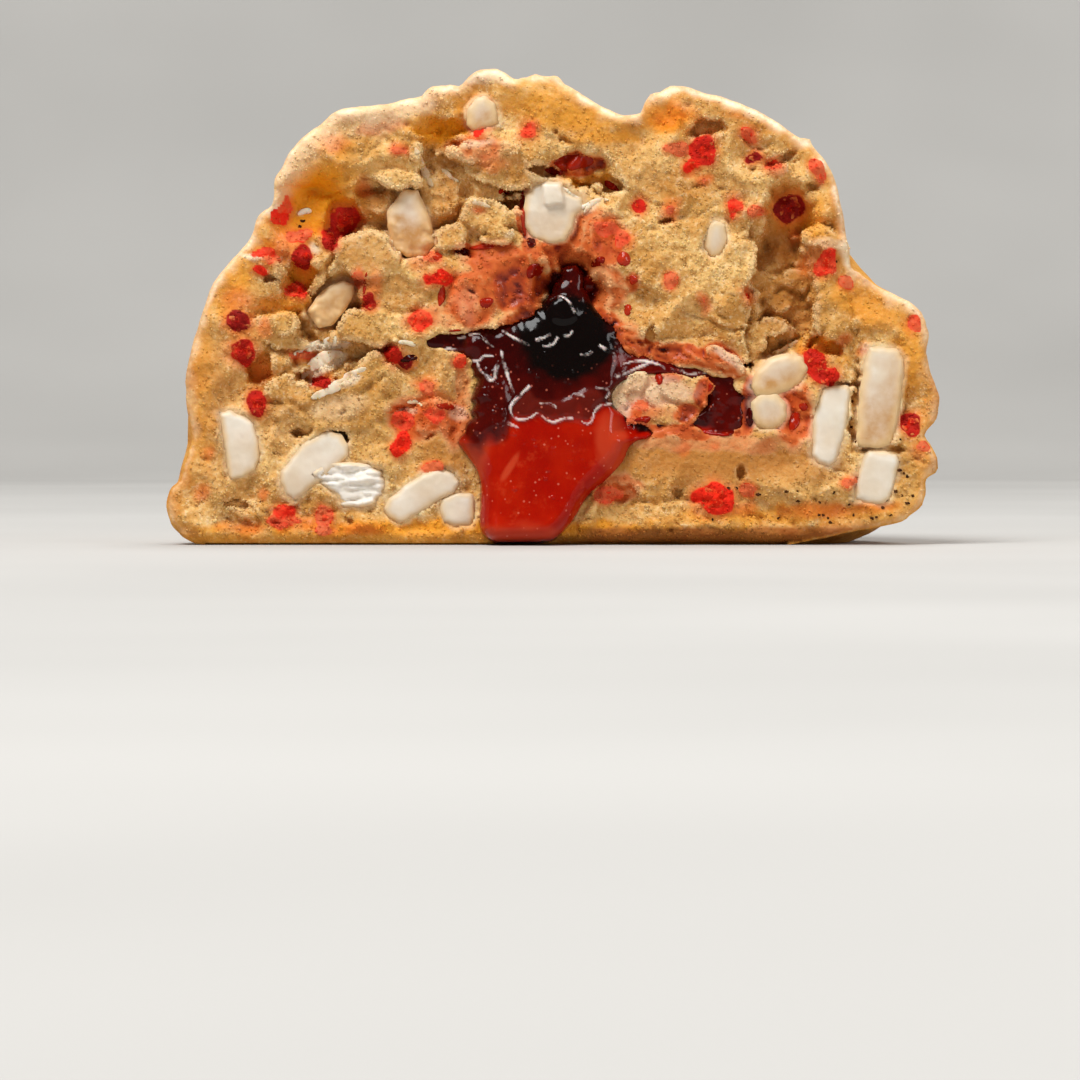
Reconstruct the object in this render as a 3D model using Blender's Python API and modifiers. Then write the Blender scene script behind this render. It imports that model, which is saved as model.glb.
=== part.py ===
"""Half of a thick filled cookie, standing on its flat base with the torn face to the front (-Y).

Metres, +Z up, origin in the middle of the base. The dough is one solid with its crags, hollows and
fused fruit bits. White chocolate pieces and the jam sit in pockets of it, each a solid of its own.
"""

import math

import bmesh
import bpy
from mathutils import Matrix, Vector, noise
from mathutils.geometry import delaunay_2d_cdt

# Driving dimensions. Every length in the lists below is in UNIT, a 72nd of the cookie's width.
WIDTH = 0.072
UNIT = WIDTH / 72
FACE_SETBACK = 18.0  # the torn face stands this far in front of the origin
POCKET_GAP = 0.35  # clearance round each piece that sits in the dough
POCKET_MOUTH = 1.2  # a pocket reaches this much further out, so that no skin of dough is left before it

# Side profiles of the half cookie: (distance from the middle, height), from the base up to the top.
LEFT_PROFILE = (
    (32.6, 0.0), (35.6, 1.6), (36.1, 4.0), (34.8, 6.2), (33.7, 9.8), (34.3, 14.6), (33.3, 20.0),
    (31.6, 24.6), (28.6, 28.1), (27.5, 30.7), (26.1, 32.3), (25.8, 34.4), (24.1, 37.2), (20.6, 40.2),
    (16.8, 40.9), (12.5, 41.8), (10.6, 42.8), (8.7, 42.8), (6.4, 44.5), (3.5, 43.4), (1.6, 43.9), (0.0, 43.8),
)
RIGHT_PROFILE = (
    (22.0, 0.0), (27.0, 1.0), (32.4, 2.2), (34.6, 3.9), (34.9, 5.8), (36.0, 7.6), (34.7, 10.3), (36.1, 13.4),
    (34.8, 18.0), (35.0, 19.9), (33.6, 22.3), (30.0, 24.3), (27.9, 25.7), (27.7, 27.7), (27.1, 30.6),
    (26.0, 34.4), (24.0, 37.8), (18.0, 41.0), (14.0, 42.2), (11.2, 42.8), (9.0, 41.9), (8.2, 40.4),
    (6.2, 40.2), (3.6, 41.4), (0.9, 42.9), (0.0, 43.8),
)
BACK_PROFILE = (
    (30.5, 0.0), (33.6, 1.8), (35.2, 5.5), (35.0, 11.0), (33.9, 17.0), (31.9, 23.0), (28.6, 29.0),
    (24.0, 34.6), (18.0, 39.0), (11.0, 41.9), (5.0, 43.3), (0.0, 43.8),
)
ROWS = 40  # steps of the crust from base to top
COLUMNS = 24  # steps of the crust from right to left, round the back
SIDE_REACH = 17.0  # the side profiles show up to this distance behind the torn face
CRUST_LUMP = 1.1
CRUST_LUMP_SIZE = 11.0
DOME_HEART = Vector((0.0, 0.0, 14.0))  # the crust's lumps swell away from here

# The torn face.
FACE_CELL = 1.75
RIM_FADE = 2.4  # the relief dies out over this width inside the crust's edge
CRAG_DEPTH = 1.5
CRAG_SIZE = 5.2
CRUMB_DEPTH = 0.5
CRUMB_SIZE = 2.1
BASE_BAND = 1.8  # the browned bottom edge turns under below this height
BASE_TUCK = 1.3

# Hollows of the torn face: x, height, half width, half height, turn in degrees, depth.
HOLLOWS = (
    (-22.0, 30.4, 4.6, 3.6, 25, 3.2),
    (-12.8, 32.2, 3.4, 5.2, -10, 5.0),
    (-10.3, 38.7, 2.8, 1.4, -4, 2.4),
    (-23.4, 24.4, 2.6, 2.0, 40, 2.8),
    (-20.4, 22.6, 3.2, 2.2, 42, 2.1),
    (-22.8, 20.4, 3.4, 1.9, 0, 2.6),
    (-27.3, 16.2, 1.7, 1.5, 0, 2.8),
    (-20.3, 10.9, 2.3, 1.2, -30, 3.0),
    (22.2, 29.6, 2.9, 4.6, 0, 5.6),
    (21.4, 21.8, 3.1, 4.8, 0, 5.0),
    (1.6, 24.0, 4.0, 3.4, 0, 4.0),
    (2.4, 35.4, 2.8, 1.7, 5, 2.6),
    (14.0, 38.7, 1.9, 1.2, 10, 2.0),
    (27.0, 17.6, 1.5, 2.0, 20, 2.2),
)

# White chocolate: name, x, height, length, width, thickness, turn in degrees, front behind the face.
CHUNKS = (
    ("chocolate_left_slab", -29.2, 9.2, 5.8, 2.8, 5.0, -8, -0.3),
    ("chocolate_left_baton", -22.2, 7.5, 7.2, 3.1, 4.6, 42, -0.4),
    ("chocolate_flaky_piece", -17.8, 5.5, 2.7, 4.0, 4.2, 6, -0.2),
    ("chocolate_low_baton", -12.4, 4.9, 6.4, 2.5, 4.2, 52, -0.4),
    ("chocolate_low_block", -8.9, 3.2, 2.3, 2.6, 3.8, 4, 0.1),
    ("chocolate_hollow_left", -13.3, 30.2, 5.2, 3.0, 4.0, -20, 3.2),
    ("chocolate_mid_left", -20.3, 22.6, 4.8, 3.0, 4.6, 42, 1.2),
    ("chocolate_top_left", -6.7, 40.1, 2.5, 2.4, 3.2, 10, -0.2),
    ("chocolate_top_middle", -0.2, 31.2, 5.2, 4.2, 5.0, 3, 0.3),
    ("chocolate_right_sliver", 15.1, 28.5, 3.1, 1.8, 3.6, 4, 0.1),
    ("chocolate_jam_lower", 20.1, 12.2, 2.8, 2.8, 4.0, 0, 0.0),
    ("chocolate_jam_upper", 21.1, 15.9, 2.4, 4.3, 4.4, -20, 0.1),
    ("chocolate_right_baton", 26.2, 10.9, 6.4, 2.8, 4.8, 9, -0.4),
    ("chocolate_right_slab", 30.6, 13.8, 8.7, 3.4, 5.0, 7, -0.5),
    ("chocolate_right_block", 30.2, 6.3, 4.1, 3.1, 4.4, 14, -0.4),
)
CHUNK_EDGE = 0.55

# Jam: lobes that run together, as x, depth behind the face, height, and the three half sizes.
JAM_LOBES = (
    (0.6, 9.0, 17.6, 7.0, 8.0, 5.6),
    (-10.0, 0.9, 19.3, 3.4, 1.9, 1.3),
    (10.4, 1.1, 17.2, 6.0, 1.6, 1.25),
    (16.2, 1.4, 13.0, 2.4, 2.1, 3.0),
    (12.0, 0.8, 10.9, 6.4, 1.7, 1.3),
)
# The jam that shows, from its throat to the toe of the drip, in steps down the face: height, left edge,
# right edge, depth of the middle behind the face, half thickness, half height.
JAM_STEPS = (
    (25.2, 0.2, 3.9, 4.6, 2.0, 1.7), (23.2, -1.4, 5.3, 4.0, 2.0, 1.6), (21.2, -3.4, 6.6, 3.2, 2.0, 1.6),
    (19.2, -9.0, 7.2, 2.3, 2.0, 1.6), (17.2, -7.9, 7.0, 1.9, 2.0, 1.6), (15.2, -7.9, 5.8, 1.2, 2.0, 1.6),
    (13.2, -8.3, 5.9, 0.5, 2.1, 1.6), (11.4, -8.8, 7.2, 0.1, 1.9, 1.5), (9.8, -9.3, 7.7, -0.2, 1.7, 1.5),
    (8.0, -7.9, 7.0, -0.4, 1.6, 1.5), (6.0, -7.4, 5.0, -0.5, 1.6, 1.5), (4.2, -7.2, 3.3, -0.7, 1.7, 1.5),
    (2.6, -7.1, 2.4, -1.0, 1.8, 1.4), (1.4, -6.6, 1.3, -2.0, 1.5, 1.1), (1.1, -5.9, 0.4, -3.3, 1.3, 0.85),
)
LOBES_PER_STEP = 5
JAM_VOXEL = 0.62
JAM_SMOOTHING = 4
JAM_KEPT_FACES = 0.14

# Dried strawberry bits fused to the face: x, height, half width, half height.
BERRIES = (
    (-19.7, 30.3, 1.5, 1.3), (-23.3, 27.2, 1.0, 1.1), (-24.2, 28.8, 1.2, 0.6), (-29.3, 20.7, 1.2, 0.9),
    (-28.9, 18.1, 1.3, 1.1), (-27.6, 13.2, 1.0, 1.0), (-24.2, 23.8, 0.9, 0.6), (-12.4, 21.0, 1.1, 1.0),
    (-11.4, 25.0, 1.3, 0.7), (-12.0, 14.9, 0.8, 0.8), (-13.6, 11.7, 1.1, 0.7), (-14.2, 9.3, 0.8, 0.9),
    (-25.4, 2.6, 1.4, 0.7), (-21.3, 2.2, 1.0, 0.9), (5.5, 4.7, 0.9, 0.7), (15.2, 4.3, 1.7, 1.4),
    (33.4, 11.3, 0.9, 1.1), (24.9, 17.9, 1.0, 0.7), (22.4, 31.6, 1.4, 1.2), (25.6, 26.2, 0.9, 1.1),
    (24.7, 35.0, 0.8, 1.1), (19.2, 36.1, 0.9, 0.6), (14.2, 36.8, 1.1, 1.3), (18.2, 38.4, 0.8, 0.6),
    (16.7, 31.7, 0.7, 1.1), (10.8, 39.6, 1.5, 1.2), (8.0, 31.7, 0.6, 0.7), (10.9, 31.3, 0.8, 0.7),
    (5.0, 29.6, 0.8, 0.8), (-14.3, 36.9, 0.7, 0.7), (-20.6, 37.6, 1.0, 0.6), (-2.2, 38.9, 1.0, 0.8),
    (-14.9, 17.8, 0.9, 0.8), (-25.4, 30.8, 0.9, 0.6), (-17.1, 22.6, 0.7, 0.6), (11.1, 24.7, 0.5, 0.6),
)
BERRY_HEIGHT = 0.75  # a bit stands this far out of the dough at its middle, and as far in
BERRY_ROUGHNESS = 0.28

COLOURS = {
    "baked_dough": ((0.76, 0.53, 0.27, 1), 0.8),
    "white_chocolate": ((0.90, 0.85, 0.74, 1), 0.45),
    "strawberry_jam": ((0.33, 0.02, 0.01, 1), 0.08),
}


def clear_scene():
    for old in list(bpy.data.objects):
        bpy.data.objects.remove(old, do_unlink=True)


def new_collection(name):
    made = bpy.data.collections.new(name)
    bpy.context.scene.collection.children.link(made)
    return made


def material(name):
    colour, roughness = COLOURS[name]
    made = bpy.data.materials.get(name) or bpy.data.materials.new(name)
    made.use_nodes = True
    shader = made.node_tree.nodes["Principled BSDF"]
    shader.inputs["Base Color"].default_value = colour
    shader.inputs["Roughness"].default_value = roughness
    shader.inputs["Metallic"].default_value = 0.0
    return made


def new_object(name, bm, collection, finish, parent):
    """Scales a mesh made in UNIT to metres and makes it an object of the collection."""
    bmesh.ops.scale(bm, vec=(UNIT, UNIT, UNIT), verts=bm.verts)
    mesh = bpy.data.meshes.new(name)
    bm.to_mesh(mesh)
    bm.free()
    made = bpy.data.objects.new(name, mesh)
    made.data.materials.append(material(finish))
    made.parent = parent
    collection.objects.link(made)
    return made


def helper(obj):
    """A cutter, or a shape that is fused to another, isn't part of the result by itself."""
    obj.hide_render = True
    obj.display_type = "WIRE"
    return obj


def apply_modifiers(obj):
    """Replaces the object's mesh by its evaluated one, and drops the modifiers."""
    bpy.context.view_layer.update()
    graph = bpy.context.evaluated_depsgraph_get()
    done = bpy.data.meshes.new_from_object(obj.evaluated_get(graph))
    obj.modifiers.clear()
    obj.data = done


def smooth_step(share):
    share = min(1.0, max(0.0, share))
    return share * share * (3 - 2 * share)


def curve_through(points, steps):
    """Points at equal steps along a smooth curve through the given ones."""
    ends = [points[0], *points, points[-1]]
    fine = []
    for before, start, end, after in zip(ends, ends[1:], ends[2:], ends[3:]):
        p0, p1, p2, p3 = (Vector(p) for p in (before, start, end, after))
        for k in range(8):
            t = k / 8
            fine.append(
                0.5 * (2 * p1 + (p2 - p0) * t + (2 * p0 - 5 * p1 + 4 * p2 - p3) * t**2
                       + (3 * p1 - p0 - 3 * p2 + p3) * t**3)
            )
    fine.append(Vector(points[-1]))
    lengths = [0.0]
    for a, b in zip(fine, fine[1:]):
        lengths.append(lengths[-1] + (b - a).length)
    found, at = [], 0
    for step in range(steps + 1):
        wanted = lengths[-1] * step / steps
        while at < len(fine) - 2 and lengths[at + 1] < wanted:
            at += 1
        share = (wanted - lengths[at]) / (lengths[at + 1] - lengths[at])
        found.append(fine[at].lerp(fine[at + 1], share))
    return found


LEFT = curve_through(LEFT_PROFILE, ROWS)
RIGHT = curve_through(RIGHT_PROFILE, ROWS)
BACK = curve_through(BACK_PROFILE, ROWS)


def crust_point(row, angle):
    """A point of the crust: its row up the profile, and its angle from the right, round the back."""
    side = LEFT[row].lerp(RIGHT[row], smooth_step(0.5 + 0.5 * math.cos(angle)))
    back_share = smooth_step(BACK[row].x * math.sin(angle) / SIDE_REACH)
    radius, height = side.lerp(BACK[row], back_share)
    point = Vector((radius * math.cos(angle), radius * math.sin(angle), height))
    if row in (0, ROWS) or math.sin(angle) < 1e-6:
        return point
    swell = noise.noise(point / CRUST_LUMP_SIZE) + 0.4 * noise.noise(point / (0.45 * CRUST_LUMP_SIZE))
    fade = smooth_step(point.y / 5) * smooth_step(point.z / 4)
    return point + (point - DOME_HEART).normalized() * (CRUST_LUMP * swell * fade)


def hollow_depth(x, height):
    """How far the named hollows take the face in at a place."""
    depth = 0.0
    for middle_x, middle_z, half_x, half_z, turn, deepest in HOLLOWS:
        c, s = math.cos(math.radians(turn)), math.sin(math.radians(turn))
        dx, dz = x - middle_x, height - middle_z
        across, up = (c * dx + s * dz) / half_x, (c * dz - s * dx) / half_z
        ragged = 0.25 * noise.noise(Vector((x / 1.8, 3.0, height / 1.8)))
        away = math.sqrt(across * across + up * up) + ragged
        depth = max(depth, deepest * smooth_step((1.25 - away) / 0.6))
    return depth


def face_depth(x, height, to_rim):
    """Depth of the torn face behind its plane: crags, crumb, hollows and the tucked bottom edge."""
    place = Vector((x, 0.0, height))
    crag = abs(noise.noise(place / CRAG_SIZE + Vector((7, 0, 3)))) * 2 * CRAG_DEPTH - 0.35 * CRAG_DEPTH
    crumb = noise.noise(place / CRUMB_SIZE) * CRUMB_DEPTH
    fade = smooth_step(to_rim / RIM_FADE)
    tuck = BASE_TUCK * max(0.0, 1 - height / BASE_BAND) ** 2
    return (crag + crumb + hollow_depth(x, height)) * fade + tuck


def distance_to_rim(place, rim):
    """Distance from a place on the face to the crust's edge, the base left out."""
    return min((place - p).length for p in rim)


def face_triangles(outline, rim):
    """The outline filled with triangles on an even grid, as (places, triangles); the outline comes first."""
    places = list(outline)
    lowest_x, highest_x = min(p.x for p in outline), max(p.x for p in outline)
    highest_z = max(p.y for p in outline)
    for column in range(int((highest_x - lowest_x) / FACE_CELL) + 1):
        for row in range(int(highest_z / FACE_CELL) + 1):
            shift = 0.5 * (row % 2)
            place = Vector((lowest_x + (column + shift) * FACE_CELL, (row + 0.6) * FACE_CELL))
            if distance_to_rim(place, outline) > 0.55 * FACE_CELL:
                places.append(place)
    edges = [(k, (k + 1) % len(outline)) for k in range(len(outline))]
    found = delaunay_2d_cdt(places, edges, [], 1, 1e-6)
    return found[0], found[2]


def build_dough(collection, parent):
    """The crust as a loft between unlike profiles, closed by the torn face and the flat base."""
    bm = bmesh.new()
    top = bm.verts.new(crust_point(ROWS, 0.0))
    grid = []
    for column in range(COLUMNS + 1):
        angle = math.pi * column / COLUMNS
        grid.append([bm.verts.new(crust_point(row, angle)) for row in range(ROWS)] + [top])
    for here, after in zip(grid, grid[1:]):
        for row in range(ROWS):
            corners = [here[row], after[row], after[row + 1], here[row + 1]]
            bm.faces.new(list(dict.fromkeys(corners)))
    right_edge, left_edge = grid[0][:-1], grid[-1][:-1]
    base_steps = round((right_edge[0].co.x - left_edge[0].co.x) / FACE_CELL)
    base_edge = []
    for step in range(1, base_steps):
        base_edge.append(bm.verts.new(left_edge[0].co.lerp(right_edge[0].co, step / base_steps)))
    loop = right_edge + [top] + left_edge[::-1] + base_edge
    outline = [Vector((v.co.x, v.co.z)) for v in loop]
    rim = outline[: 2 * ROWS + 1]
    places, triangles = face_triangles(outline, rim)
    verts = list(loop)
    for place in places[len(loop):]:
        verts.append(bm.verts.new((place.x, face_depth(*place, distance_to_rim(place, rim)), place.y)))
    for triangle in triangles:
        bm.faces.new([verts[k] for k in triangle])
    bm.faces.new([column[0] for column in grid] + base_edge)
    for vert in base_edge:
        vert.co.y = BASE_TUCK
    bmesh.ops.recalc_face_normals(bm, faces=bm.faces)
    return new_object("dough", bm, collection, "baked_dough", parent)


def chunk_box(name, sizes, collection, parent):
    """A box of white chocolate of the given sizes, grown by the pocket's gap where it is a pocket."""
    x, height, length, width, thickness, turn, front = sizes
    bm = bmesh.new()
    bmesh.ops.create_cube(bm, size=1.0)
    bmesh.ops.scale(bm, vec=(width, thickness, length), verts=bm.verts)
    made = new_object(name, bm, collection, "white_chocolate", parent)
    made.location = Vector((x, front + thickness / 2, height)) * UNIT
    made.rotation_euler.y = math.radians(turn)
    return made


def build_chunk(row, collection, parent):
    name, *sizes = row
    made = chunk_box(name, sizes, collection, parent)
    rounded = made.modifiers.new("rounded edges", "BEVEL")
    rounded.width = CHUNK_EDGE * UNIT
    rounded.segments = 2
    return made


def build_pocket(row, collection, parent):
    name, x, height, length, width, thickness, turn, front = row
    gap = 2 * POCKET_GAP
    mouth = POCKET_MOUTH if front < 1 else 0.0  # one deep in a hollow has its way out already
    start = front - POCKET_GAP - mouth
    sizes = (x, height, length + gap, width + gap, thickness + gap + mouth, turn, start)
    return helper(chunk_box(name + "_pocket", sizes, collection, parent))


def jam_lobes():
    """Every lobe of the jam, with each step laid out as a row of lobes."""
    yield from JAM_LOBES
    for height, left, right, depth, half_thick, half_high in JAM_STEPS:
        half = (right - left) / (LOBES_PER_STEP + 1)
        for k in range(LOBES_PER_STEP):
            thick = half_thick * (0.75 if k in (0, LOBES_PER_STEP - 1) else 1.0)
            yield left + half * (k + 1), depth, height, max(half, 0.9), thick, half_high


def build_jam(collection, parent, pockets):
    """The jam: lobes run together by a voxel remesh, smoothed, thinned out and cut clear of the chocolate."""
    bm = bmesh.new()
    for x, depth, height, half_x, half_y, half_z in jam_lobes():
        place = Matrix.Translation((x, depth, height)) @ Matrix.Diagonal((half_x, half_y, half_z, 1))
        bmesh.ops.create_icosphere(bm, subdivisions=3, radius=1.0, matrix=place)
    made = new_object("jam", bm, collection, "strawberry_jam", parent)
    remesh = made.modifiers.new("run together", "REMESH")
    remesh.mode = "VOXEL"
    remesh.voxel_size = JAM_VOXEL * UNIT
    smooth = made.modifiers.new("settled", "SMOOTH")
    smooth.factor = 0.5
    smooth.iterations = JAM_SMOOTHING
    thin = made.modifiers.new("few faces", "DECIMATE")
    thin.ratio = JAM_KEPT_FACES
    apply_modifiers(made)
    cut = made.modifiers.new("clear of chocolate", "BOOLEAN")
    cut.operation = "DIFFERENCE"
    cut.operand_type = "COLLECTION"
    cut.collection = pockets
    apply_modifiers(made)
    keep_largest(made)
    return made


def keep_largest(obj):
    """Drops loose scraps that a cut has left, and keeps the one large body."""
    bm = bmesh.new()
    bm.from_mesh(obj.data)
    left, bodies = set(bm.verts), []
    while left:
        body, edge = set(), [left.pop()]
        while edge:
            vert = edge.pop()
            body.add(vert)
            for link in vert.link_edges:
                other = link.other_vert(vert)
                if other in left:
                    left.remove(other)
                    edge.append(other)
        bodies.append(body)
    bodies.sort(key=len)
    for scrap in bodies[:-1]:
        bmesh.ops.delete(bm, geom=list(scrap), context="VERTS")
    bm.to_mesh(obj.data)
    bm.free()


def build_jam_pocket(jam, collection, parent):
    """The jam's own shape, grown by the gap all round."""
    bm = bmesh.new()
    bm.from_mesh(jam.data)
    bm.normal_update()
    moved = [(v, v.co + v.normal * POCKET_GAP * UNIT) for v in bm.verts]
    for vert, place in moved:
        vert.co = place
    bmesh.ops.scale(bm, vec=(1 / UNIT,) * 3, verts=bm.verts)
    return helper(new_object("jam_pocket", bm, collection, "strawberry_jam", parent))


def build_berry(number, row, collection, parent):
    """A rough lump of dried fruit, half sunk in the face."""
    x, height, half_x, half_z = row
    large = max(half_x, half_z) > 1.0
    bm = bmesh.new()
    bmesh.ops.create_icosphere(bm, subdivisions=2 if large else 1, radius=1.0)
    seed = Vector((number * 3.7, 1.3, 9.1))
    for vert in bm.verts:
        rough = 1 + BERRY_ROUGHNESS * noise.noise(vert.co * 1.7 + seed)
        vert.co *= rough
    bmesh.ops.scale(bm, vec=(half_x, BERRY_HEIGHT, half_z), verts=bm.verts)
    made = helper(new_object(f"berry_{number:02d}", bm, collection, "baked_dough", parent))
    made.location = Vector((x, face_depth(x, height, RIM_FADE), height)) * UNIT
    return made


def cut_and_fuse(dough, jam_pocket, pockets, berries):
    """Cuts the pockets out of the dough, and fuses the fruit bits to it."""
    for name, operation in (("jam pocket", "DIFFERENCE"), ("chocolate pockets", "DIFFERENCE"),
                            ("fruit bits", "UNION")):
        step = dough.modifiers.new(name, "BOOLEAN")
        step.operation = operation
        if name == "jam pocket":
            step.object = jam_pocket
            continue
        step.operand_type = "COLLECTION"
        step.collection = berries if name == "fruit bits" else pockets
    apply_modifiers(dough)
    keep_largest(dough)
    for bit in list(berries.objects):
        bpy.data.objects.remove(bit, do_unlink=True)


def main():
    clear_scene()
    cookie, pockets, berries = (new_collection(n) for n in ("half_cookie", "pockets", "fruit_bits"))
    stand = bpy.data.objects.new("half_cookie_place", None)
    stand.location.y = -FACE_SETBACK * UNIT
    cookie.objects.link(stand)
    dough = build_dough(cookie, stand)
    for row in CHUNKS:
        build_chunk(row, cookie, stand)
        build_pocket(row, pockets, stand)
    jam = build_jam(cookie, stand, pockets)
    jam_pocket = build_jam_pocket(jam, cookie, stand)
    for number, row in enumerate(BERRIES):
        build_berry(number, row, berries, stand)
    cut_and_fuse(dough, jam_pocket, pockets, berries)


main()
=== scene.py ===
import bmesh
import bpy
import math
import numpy as np
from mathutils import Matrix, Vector, noise
from mathutils.geometry import delaunay_2d_cdt


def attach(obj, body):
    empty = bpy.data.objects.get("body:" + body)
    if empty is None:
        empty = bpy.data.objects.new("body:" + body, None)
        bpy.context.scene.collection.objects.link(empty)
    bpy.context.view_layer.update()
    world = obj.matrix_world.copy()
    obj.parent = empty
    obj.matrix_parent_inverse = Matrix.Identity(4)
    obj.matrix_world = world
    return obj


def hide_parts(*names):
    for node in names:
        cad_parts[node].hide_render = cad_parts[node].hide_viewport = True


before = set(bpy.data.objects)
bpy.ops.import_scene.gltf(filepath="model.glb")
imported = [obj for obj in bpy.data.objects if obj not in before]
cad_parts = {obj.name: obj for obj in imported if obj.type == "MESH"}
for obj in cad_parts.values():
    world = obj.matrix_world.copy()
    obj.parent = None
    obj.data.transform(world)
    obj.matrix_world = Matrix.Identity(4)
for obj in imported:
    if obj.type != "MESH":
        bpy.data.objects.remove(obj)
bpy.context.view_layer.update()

# Jam. Boiled strawberry jam that was sealed in as a soft core: it fills the middle of the cookie, runs out
# in thin arms between the crumb, and hangs down the face in one clear drip, with a heavy lip above it.
# Lengths are in millimetres: x to the right, y into the cookie from the torn face, z up from the base.
FACE_Y = -18.0
MILLIMETRE = 0.001
JAM_OUTLINE = (
    (1.9, 26.3), (2.7, 25.4), (3.1, 23.8), (4.0, 22.0), (5.4, 20.7), (6.3, 19.6), (6.9, 18.4), (8.2, 17.8),
    (10.0, 17.4), (12.0, 17.0), (13.8, 16.5), (14.8, 16.2), (15.6, 16.1), (16.8, 15.9), (17.6, 14.6),
    (17.9, 12.8), (17.8, 11.2), (17.0, 10.3), (15.6, 10.0), (14.2, 10.3), (12.9, 10.9), (11.4, 11.0),
    (10.0, 10.5), (8.8, 9.8), (7.8, 9.5), (7.2, 8.9), (6.8, 7.9), (6.0, 6.9), (4.9, 5.8), (3.8, 4.9),
    (3.0, 3.9), (2.4, 2.8), (1.6, 1.7), (0.6, 0.7), (-0.4, 0.2), (-2.6, 0.1), (-5.0, 0.1), (-6.0, 0.4),
    (-6.8, 1.2), (-7.0, 2.2), (-6.9, 4.0), (-6.9, 5.6), (-7.3, 7.0), (-8.1, 8.2), (-8.9, 9.5), (-8.7, 10.4),
    (-7.9, 11.4), (-7.6, 13.0), (-7.3, 14.8), (-7.6, 16.2), (-8.2, 17.4), (-9.8, 17.9), (-11.6, 18.4),
    (-12.3, 19.1), (-11.6, 19.7), (-9.6, 20.0), (-7.6, 20.3), (-5.0, 20.7), (-2.7, 21.3), (-1.1, 22.6),
    (0.2, 24.4), (1.0, 25.8),
)
# How far the jam lies behind the torn face, and the height that this is for; below 0 is in front of the face.
JAM_FRONT = (
    (-3.9, 0.0), (-3.6, 0.9), (-3.2, 1.8), (-2.85, 2.8), (-2.5, 4.2), (-2.25, 6.0), (-2.0, 8.0), (-1.8, 9.8),
    (-1.6, 11.4), (-1.35, 13.2), (-1.2, 15.0), (-0.95, 16.8), (-0.6, 18.6), (-0.15, 20.6), (0.3, 22.4),
    (0.55, 24.4), (0.8, 27.0),
)
# The outline of the heavy lip over the drip.
JAM_LIP = (
    (-2.2, 14.7), (-3.1, 13.8), (-3.9, 12.9), (-3.8, 12.1), (-3.0, 11.7), (-2.1, 11.9), (-1.4, 12.2),
    (-0.7, 11.7), (0.1, 11.5), (1.0, 11.8), (2.0, 11.7), (2.9, 11.5), (3.5, 11.6), (3.9, 12.5), (4.6, 13.1),
    (4.8, 13.9), (4.2, 14.6), (3.0, 14.6), (2.0, 14.1), (0.8, 13.6), (-0.6, 13.5), (-1.6, 13.8),
)
# Wet edges of the folds that the jam set in, also painted near white as a painted highlight: how far they stand out,
# then places along each.
JAM_FOLDS = (
    (0.34, (-2.2, 14.8), (-3.1, 13.9), (-3.9, 13.0), (-3.8, 12.2), (-3.1, 11.7), (-2.1, 11.9), (-1.4, 12.3),
     (-0.6, 11.7), (0.2, 11.5), (1.0, 11.8), (1.8, 11.8)),
    (0.34, (2.7, 11.5), (3.2, 11.3), (3.6, 11.6), (3.9, 12.5), (4.5, 13.0), (5.4, 13.2)),
    (0.3, (4.1, 14.6), (4.9, 14.6), (5.3, 14.2), (4.9, 13.7)),
    (0.28, (-7.4, 17.2), (-6.9, 17.2), (-6.4, 17.6), (-5.6, 17.6)),
    (0.28, (-7.0, 17.0), (-6.8, 16.3), (-6.2, 15.7), (-5.7, 15.3), (-5.4, 15.6), (-5.3, 16.4), (-5.0, 17.1)),
    (0.26, (-4.8, 18.0), (-4.5, 16.8), (-4.1, 15.4), (-3.7, 14.2)),
    (0.3, (6.6, 16.9), (7.4, 17.1), (8.4, 17.2), (9.2, 17.0), (10.0, 16.8), (10.4, 16.5)),
    (0.28, (11.0, 16.5), (12.0, 16.3), (12.4, 16.0), (13.4, 16.0)),
    (0.26, (13.6, 16.1), (14.3, 16.1), (14.7, 16.5)),
    (0.3, (6.0, 15.7), (6.8, 16.0), (7.6, 16.4), (8.6, 16.8), (9.2, 17.1)),
    (0.28, (-10.4, 17.95), (-9.8, 18.3), (-9.0, 18.2)),
    (0.25, (-8.8, 19.3), (-8.2, 19.4)),
    (0.28, (-7.8, 19.6), (-6.9, 19.7), (-6.2, 19.0), (-5.6, 18.5)),
    (0.3, (-4.6, 19.9), (-3.4, 19.2), (-2.3, 18.7)),
    (0.3, (-0.9, 18.5), (0.0, 18.7), (0.4, 19.3)),
    (0.25, (-1.5, 19.1), (-0.9, 19.3), (-0.3, 19.6)),
    (0.25, (1.1, 19.5), (1.6, 19.6), (1.8, 20.0)),
    (0.28, (2.6, 17.8), (3.1, 17.7), (3.6, 18.0)),
    (0.25, (4.4, 18.6), (5.0, 18.2), (5.8, 17.8)),
    (0.3, (-0.1, 22.8), (0.7, 23.2), (1.5, 22.7), (2.0, 21.8)),
    (0.25, (-1.1, 13.2), (-0.3, 13.2), (0.3, 12.9)),
    (0.22, (2.0, 14.0), (2.9, 13.9)),
    (0.25, (-4.2, 11.4), (-3.3, 11.0)),
)
# Where the crumb shows through the pool of jam, as x, z, half width, half height and turn, and how far the jam
# lies behind the face there.
ISLAND = (10.0, 13.7, 4.4, 2.1, 0)
ISLAND_SINK = 2.6
# Air bubbles: the low and the high corner of each patch in x and z, and how many are in it.
JAM_BUBBLES = (
    (-8, 10, -4, 16.5, 60), (14, 10.4, 17.6, 15.5, 30), (-4, 2, 3, 11, 22), (-4, 15, 6, 20, 14),
    (6.5, 10.3, 10, 11.4, 18),
)
BUBBLE_RADII = (0.07, 0.2)
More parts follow.
